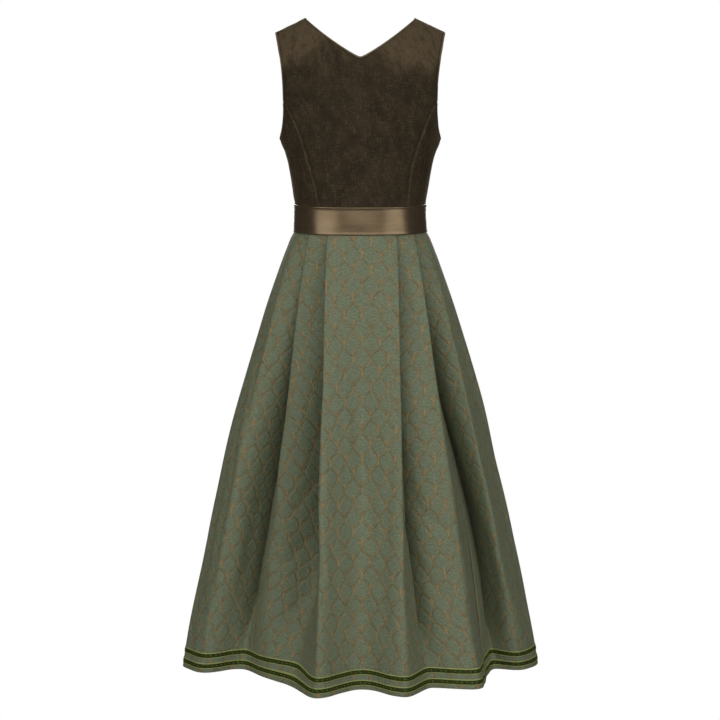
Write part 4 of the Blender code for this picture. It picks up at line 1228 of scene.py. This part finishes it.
# Creases of the bodice: side (-1 back, 1 front), x, level, length, width, depth, lean
FOLDS = (
    (-1, 0.118, -0.040, 0.090, 0.007, 0.0016, 62.0),
    (-1, 0.132, -0.062, 0.080, 0.008, -0.0014, 70.0),
    (-1, -0.120, -0.038, 0.080, 0.007, 0.0015, -58.0),
    (-1, -0.134, -0.066, 0.070, 0.008, -0.0014, -66.0),
    (-1, 0.030, -0.082, 0.060, 0.005, 0.0013, 52.0),
    (-1, 0.046, -0.088, 0.050, 0.005, -0.0011, 55.0),
    (-1, -0.022, -0.080, 0.040, 0.005, 0.0009, -50.0),
    (-1, -0.078, -0.300, 0.060, 0.006, 0.0010, 84.0),
    (-1, -0.080, -0.322, 0.060, 0.006, -0.0009, 88.0),
    (-1, 0.080, -0.306, 0.060, 0.006, 0.0009, -84.0),
    (-1, 0.020, -0.328, 0.090, 0.007, -0.0010, 88.0),
    (-1, -0.030, -0.312, 0.080, 0.007, 0.0008, 92.0),
    (-1, 0.136, -0.250, 0.060, 0.007, -0.0012, 40.0),
    (-1, -0.136, -0.252, 0.060, 0.007, -0.0012, -40.0),
    (1, 0.112, -0.050, 0.090, 0.007, 0.0015, 60.0),
    (1, -0.114, -0.048, 0.090, 0.007, 0.0015, -60.0),
    (1, 0.060, -0.170, 0.080, 0.008, -0.0014, 40.0),
    (1, -0.062, -0.172, 0.080, 0.008, -0.0014, -42.0),
    (1, 0.100, -0.225, 0.070, 0.007, -0.0012, 70.0),
    (1, -0.100, -0.222, 0.070, 0.007, -0.0012, -70.0),
    (1, 0.040, -0.316, 0.080, 0.007, 0.0010, 86.0),
    (1, -0.044, -0.320, 0.080, 0.007, 0.0010, -86.0),
)


def bodice_relief(points, side):
    x, z = points[..., 0], points[..., 2]
    off = np.zeros_like(x)
    for which, cx, cz, length, width, depth, lean in FOLDS:
        if which != side:
            continue
        a = math.radians(lean)
        dx, dz = x - cx, z - cz
        along = dz * math.cos(a) + dx * math.sin(a)
        over = dx * math.cos(a) - dz * math.sin(a) + 0.10 * along**2 / length
        off += depth * np.exp(-((over / width) ** 2)) * ease_all(1.5 * (1 - np.abs(along) / (length / 2)))
    off += 0.0005 * np.sin(x * 61 + z * 23 + 1.1) * np.sin(z * 47 - x * 17 + side)
    off += 0.0003 * np.sin(x * 133 + 2.0 * side) * np.sin(z * 119 + 0.7)
    return off


def close_to_ends(count, tight):
    """Steps from 0 to 1, closer together at both ends."""
    t = np.linspace(0, 1, count)
    return t - tight * np.sin(2 * math.pi * t) / (2 * math.pi)


SEAM_DIP = 0.0012      # how far the cloth turns in at a sewn seam
SEAM_WIDE = 0.0026
SEAM_SLANT = 0.0012    # how far the side and shoulder seams jog over in the middle of the cloth


def panel(name, node, surface, columns, rows, side, free, materials):
    """A bodice panel. free says which of its edges (left, right, top) are turned edges
    instead of seams: left and right as functions of the level."""
    u, v = np.meshgrid(columns, rows)
    middle = surface(u, v)
    normal = normals_of(middle)
    # the side and shoulder seams lie in one plane, where back and front are sewn together
    sewn = np.abs(middle[..., 1]) < 0.0004
    # and so does the seam down the middle of the front
    half = np.sign(middle[..., 0].mean()) if node.startswith("bodice_front_centre") else 0
    joined = np.abs(middle[..., 0]) < 0.0004
    middle[0] += unit(middle[1] - middle[0]) * GAP / 2
    middle[:, 0] += unit(middle[:, 1] - middle[:, 0]) * GAP / 2
    middle[:, -1] += unit(middle[:, -2] - middle[:, -1]) * GAP / 2
    # distance of each point from the edges, along the grid lines
    run = np.linalg.norm(np.diff(middle, axis=1), axis=-1)
    from_left = np.concatenate([np.zeros((len(run), 1)), np.cumsum(run, axis=1)], axis=1)
    from_right = from_left[:, -1:] - from_left
    lift = np.linalg.norm(np.diff(middle, axis=0), axis=-1)
    from_low = np.concatenate([np.zeros((1, lift.shape[1])), np.cumsum(lift, axis=0)])
    from_top = from_low[-1:] - from_low
    off = bodice_relief(middle, side)
    wall = np.full_like(off, WALL)
    rim = np.full(off.shape + (2,), 0.05)
    stitched = "_side_" in name
    for away, turned in zip((from_left, from_right, from_top), free(middle)):
        rim[..., 0] = np.minimum(rim[..., 0], np.where(turned, away, 0.05))
        rim[..., 1] = np.minimum(rim[..., 1], np.where(turned | (not stitched), 0.05, away))
        dip = SEAM_DIP * np.exp(-((away / SEAM_WIDE) ** 2))
        ridge = 0.0005 * np.exp(-(((away - 0.0048) / 0.0022) ** 2))
        roll = 0.0005 * np.exp(-(((away - 0.0018) / 0.0016) ** 2)) - 0.0006 * np.exp(-(((away - 0.0056) / 0.0012) ** 2))
        off += np.where(turned, roll, ridge - dip)
        thin = np.sqrt(np.clip(1 - (1 - np.clip(away / 0.0009, 0, 1)) ** 2, 0.04, 1))
        # where a turned edge ends at the shoulder seam the wall keeps its thickness
        wall = wall * np.where(turned, 1 - (1 - thin) * np.clip(np.abs(middle[..., 1]) / 0.006, 0, 1), 1.0)
    off *= ease_all((middle[..., 2] - WAIST_TOP + 0.004) / 0.02) * 0.999 + 0.001
    middle = middle + normal * off[..., None]
    normal = normals_of(middle)
    uv = np.stack([from_left + middle[:, :1, 0], middle[..., 2] + 0 * from_left], -1)
    face, back = middle + normal * wall[..., None] / 2, middle - normal * wall[..., None] / 2
    heart = middle.copy()
    for layer, slant in ((face, 0.0), (heart, SEAM_SLANT), (back, 0.0)):
        slant = slant * wall / WALL
        least = GAP / 2 + side * slant
        layer[..., 1] = side * np.where(sewn, least, np.maximum(side * layer[..., 1], least))
        if half:
            least = GAP / 2 + half * slant
            layer[..., 0] = half * np.where(joined, least, np.maximum(half * layer[..., 0], least))
    piece = sheet_mesh(name, [face, heart, back], uv, materials, (0, 0, 1), rim=rim)
    keep(piece, node)
    return piece


NECK_SOFT = 0.0060     # rounding of the point of the neck


def neck_curve(low, count):
    """One side of the neck from its lowest point, rounded off, to the shoulder."""
    t = np.linspace(0, 1, count)
    x = NECK_POINT[0] * t
    z = low + (NECK_POINT[1] - low) * t - NECK_BOW * 4 * t * (1 - t)
    steep = (NECK_POINT[1] - low - 4 * NECK_BOW) / NECK_POINT[0]
    soft = np.sqrt(x * x + NECK_SOFT**2) - x
    z += steep * (soft - soft[-1] * t) * 0.75
    return np.stack([x, z], -1)


def fine_back():
    side = neck_curve(BACK_V, 41)
    shoulder = np.linspace(NECK_POINT, SHOULDER_TIP, 5)[1:]
    right = np.concatenate([side, shoulder])
    left = right[::-1] * np.array([-1, 1])
    values = np.concatenate([left[:-1], right])
    steps = np.concatenate([[0], np.cumsum(np.hypot(*np.diff(values, axis=0).T))])
    knots = steps / steps[-1]
    ends = outer_edge(-1, -1)(np.zeros(1))[0], outer_edge(-1, 1)(np.zeros(1))[0]
    flat = patch(through([0, 1], ends), through(knots, values), outer_edge(-1, -1), outer_edge(-1, 1))

    def surface(u, v):
        p = flat(u, v)
        return np.stack([p[..., 0], bodice_depth(p[..., 0], p[..., 1], -1), p[..., 1]], -1)

    middle = len(knots) // 2
    marks = knots[[0, 4, middle, len(knots) - 5, len(knots) - 1]]
    return surface, marks


def fine_front(sign):
    line = neck_curve(FRONT_V, 51)
    shoulder = np.linspace(NECK_POINT, SHOULDER_TIP, 5)[1:]
    values = np.concatenate([line, shoulder]) * np.array([sign, 1])
    steps = np.concatenate([[0], np.cumsum(np.hypot(*np.diff(values, axis=0).T))])
    knots = steps / steps[-1]
    foot = outer_edge(1, sign)(np.zeros(1))[0]
    flat = patch(
        through([0, 1], [(0, FOOT), foot]),
        through(knots, values),
        through([0, 1], [(0, FOOT), tuple(line[0])]),
        outer_edge(1, sign),
    )

    def surface(u, v):
        p = flat(1 - u if sign > 0 else u, v)
        return np.stack([p[..., 0], bodice_depth(p[..., 0], p[..., 1], 1), p[..., 1]], -1)

    marks = knots[[0, len(knots) - 5, len(knots) - 1]]
    return surface, (1 - marks[::-1] if sign > 0 else marks)


def bodice():
    face = velvet("bodice_velvet", (0.0225, 0.0160, 0.0085), (0.103, 0.074, 0.041), (0.60, 0.48, 0.30))
    reverse = plain_weave("bodice_reverse", (0.050, 0.038, 0.026), (0.066, 0.051, 0.036))
    both = [face, reverse]
    meet = (PRINCESS_TOP - FOOT) / (SHOULDER_TIP[1] - FOOT)
    rows = np.concatenate([meet * close_to_ends(60, 0.6)[:-1], meet + (1 - meet) * close_to_ends(52, 0.7)])

    def columns_of(marks):
        found = [np.zeros(1)]
        for a, b in zip(marks[:-1], marks[1:]):
            count = max(8, int(round((b - a) / 0.0085)))
            found.append(a + (b - a) * close_to_ends(count, 0.75)[1:])
        return np.concatenate(found)

    def shoulder_or_neck(points):
        """The top edge is turned at the neck and a seam along the shoulder."""
        return np.broadcast_to((np.abs(points[-1:, :, 0]) < NECK_POINT[0] - 0.001), points.shape[:2])

    surface, marks = fine_back()
    panel("bodice_back_centre_cloth", "bodice_back_centre", surface, columns_of(marks), rows, -1,
          lambda p: [p[..., 2] > PRINCESS_TOP, p[..., 2] > PRINCESS_TOP, shoulder_or_neck(p)], both)
    side_rows = close_to_ends(60, 0.6)
    side_columns = close_to_ends(34, 0.6)
    for sign, word in ((-1, "left"), (1, "right")):
        surface, marks = fine_front(sign)
        # the middle of the front is a seam, the other side becomes the armhole
        arm_left = sign < 0

        def free(p, arm_left=arm_left):
            high = p[..., 2] > PRINCESS_TOP
            never = np.zeros_like(high)
            return [high if arm_left else never, never if arm_left else high, shoulder_or_neck(p)]

        panel(f"bodice_front_centre_{word}_cloth", f"bodice_front_centre_{word}", surface, columns_of(marks), rows, 1, free, both)
        for side, where in ((-1, "back"), (1, "front")):
            surface, _ = side_panel(side, sign)
            panel(f"bodice_{where}_side_{word}_cloth", f"bodice_{where}_side_{word}", surface, side_columns, side_rows, side,
                  lambda p: [np.zeros(p.shape[:2], bool), np.zeros(p.shape[:2], bool), np.ones(p.shape[:2], bool)], both)


# ---------------------------------------------------------------- belt

BELT_START = -170.0
BELT_END = 206.0
BELT_LIFT = ((160.0, 0.0), (178.0, BELT_WALL + GAP), (206.0, BELT_WALL + GAP))
# Section of the band: height from its lower edge, how far its face stands out
# height, out
BAND = (
    (0.0000, 0.00050), (0.0004, 0.00150), (0.0011, 0.00215), (0.0020, 0.00235), (0.0030, 0.00220),
    (0.0042, 0.00195), (0.0080, 0.00195), (0.0180, 0.00205), (0.0280, 0.00210), (0.0380, 0.00205),
    (0.0480, 0.00195), (0.0518, 0.00195), (0.0530, 0.00220), (0.0540, 0.00235), (0.0549, 0.00215),
    (0.0556, 0.00150), (0.0560, 0.00050),
)


def belt():
    turn = np.concatenate([np.linspace(BELT_START, 158, 360), np.linspace(158.6, BELT_END, 70)])
    lift = np.interp(turn, [r[0] for r in BELT_LIFT], [r[1] for r in BELT_LIFT])
    clear = WALL / 2 + BELT_ROOM
    grids = []
    for face in (True, False):
        rows = []
        for high, stand in BAND:
            z = WAIST_LOW + high
            x, y = waist_ring(np.radians(turn), z, 0.0)
            ahead = waist_ring(np.radians(turn + 0.5), z, 0.0)
            behind = waist_ring(np.radians(turn - 0.5), z, 0.0)
            d = unit(np.stack([ahead[0] - behind[0], ahead[1] - behind[1]], -1))
            out = np.stack([d[:, 1], -d[:, 0]], -1)
            a = np.radians(turn)
            sway = 0.00035 * np.sin(3 * a + 0.5) * math.sin(math.pi * high / 0.056) + 0.0002 * np.sin(9 * a + high * 80)
            stand_out = clear + lift + ((stand + sway) if face else 0.0002)
            xy = np.stack([x, y], -1) + out * stand_out[:, None]
            rows.append(np.column_stack([xy, np.full(len(turn), z)]))
        grids.append(np.array(rows))
    run = np.concatenate([[0], np.cumsum(np.linalg.norm(np.diff(grids[0][8], axis=0), axis=-1))])
    uv = np.stack([np.broadcast_to(run, (len(BAND), len(turn))), np.broadcast_to(np.array([b[0] for b in BAND])[:, None], (len(BAND), len(turn)))], -1)
    piece = sheet_mesh("belt_band", grids, uv, [satin("belt_satin")], (0, 0, 0))
    keep(piece, "belt")
    print("belt long %.3f" % run[-1])


def main():
    studio()
    skirt()
    bodice()
    belt()


main()
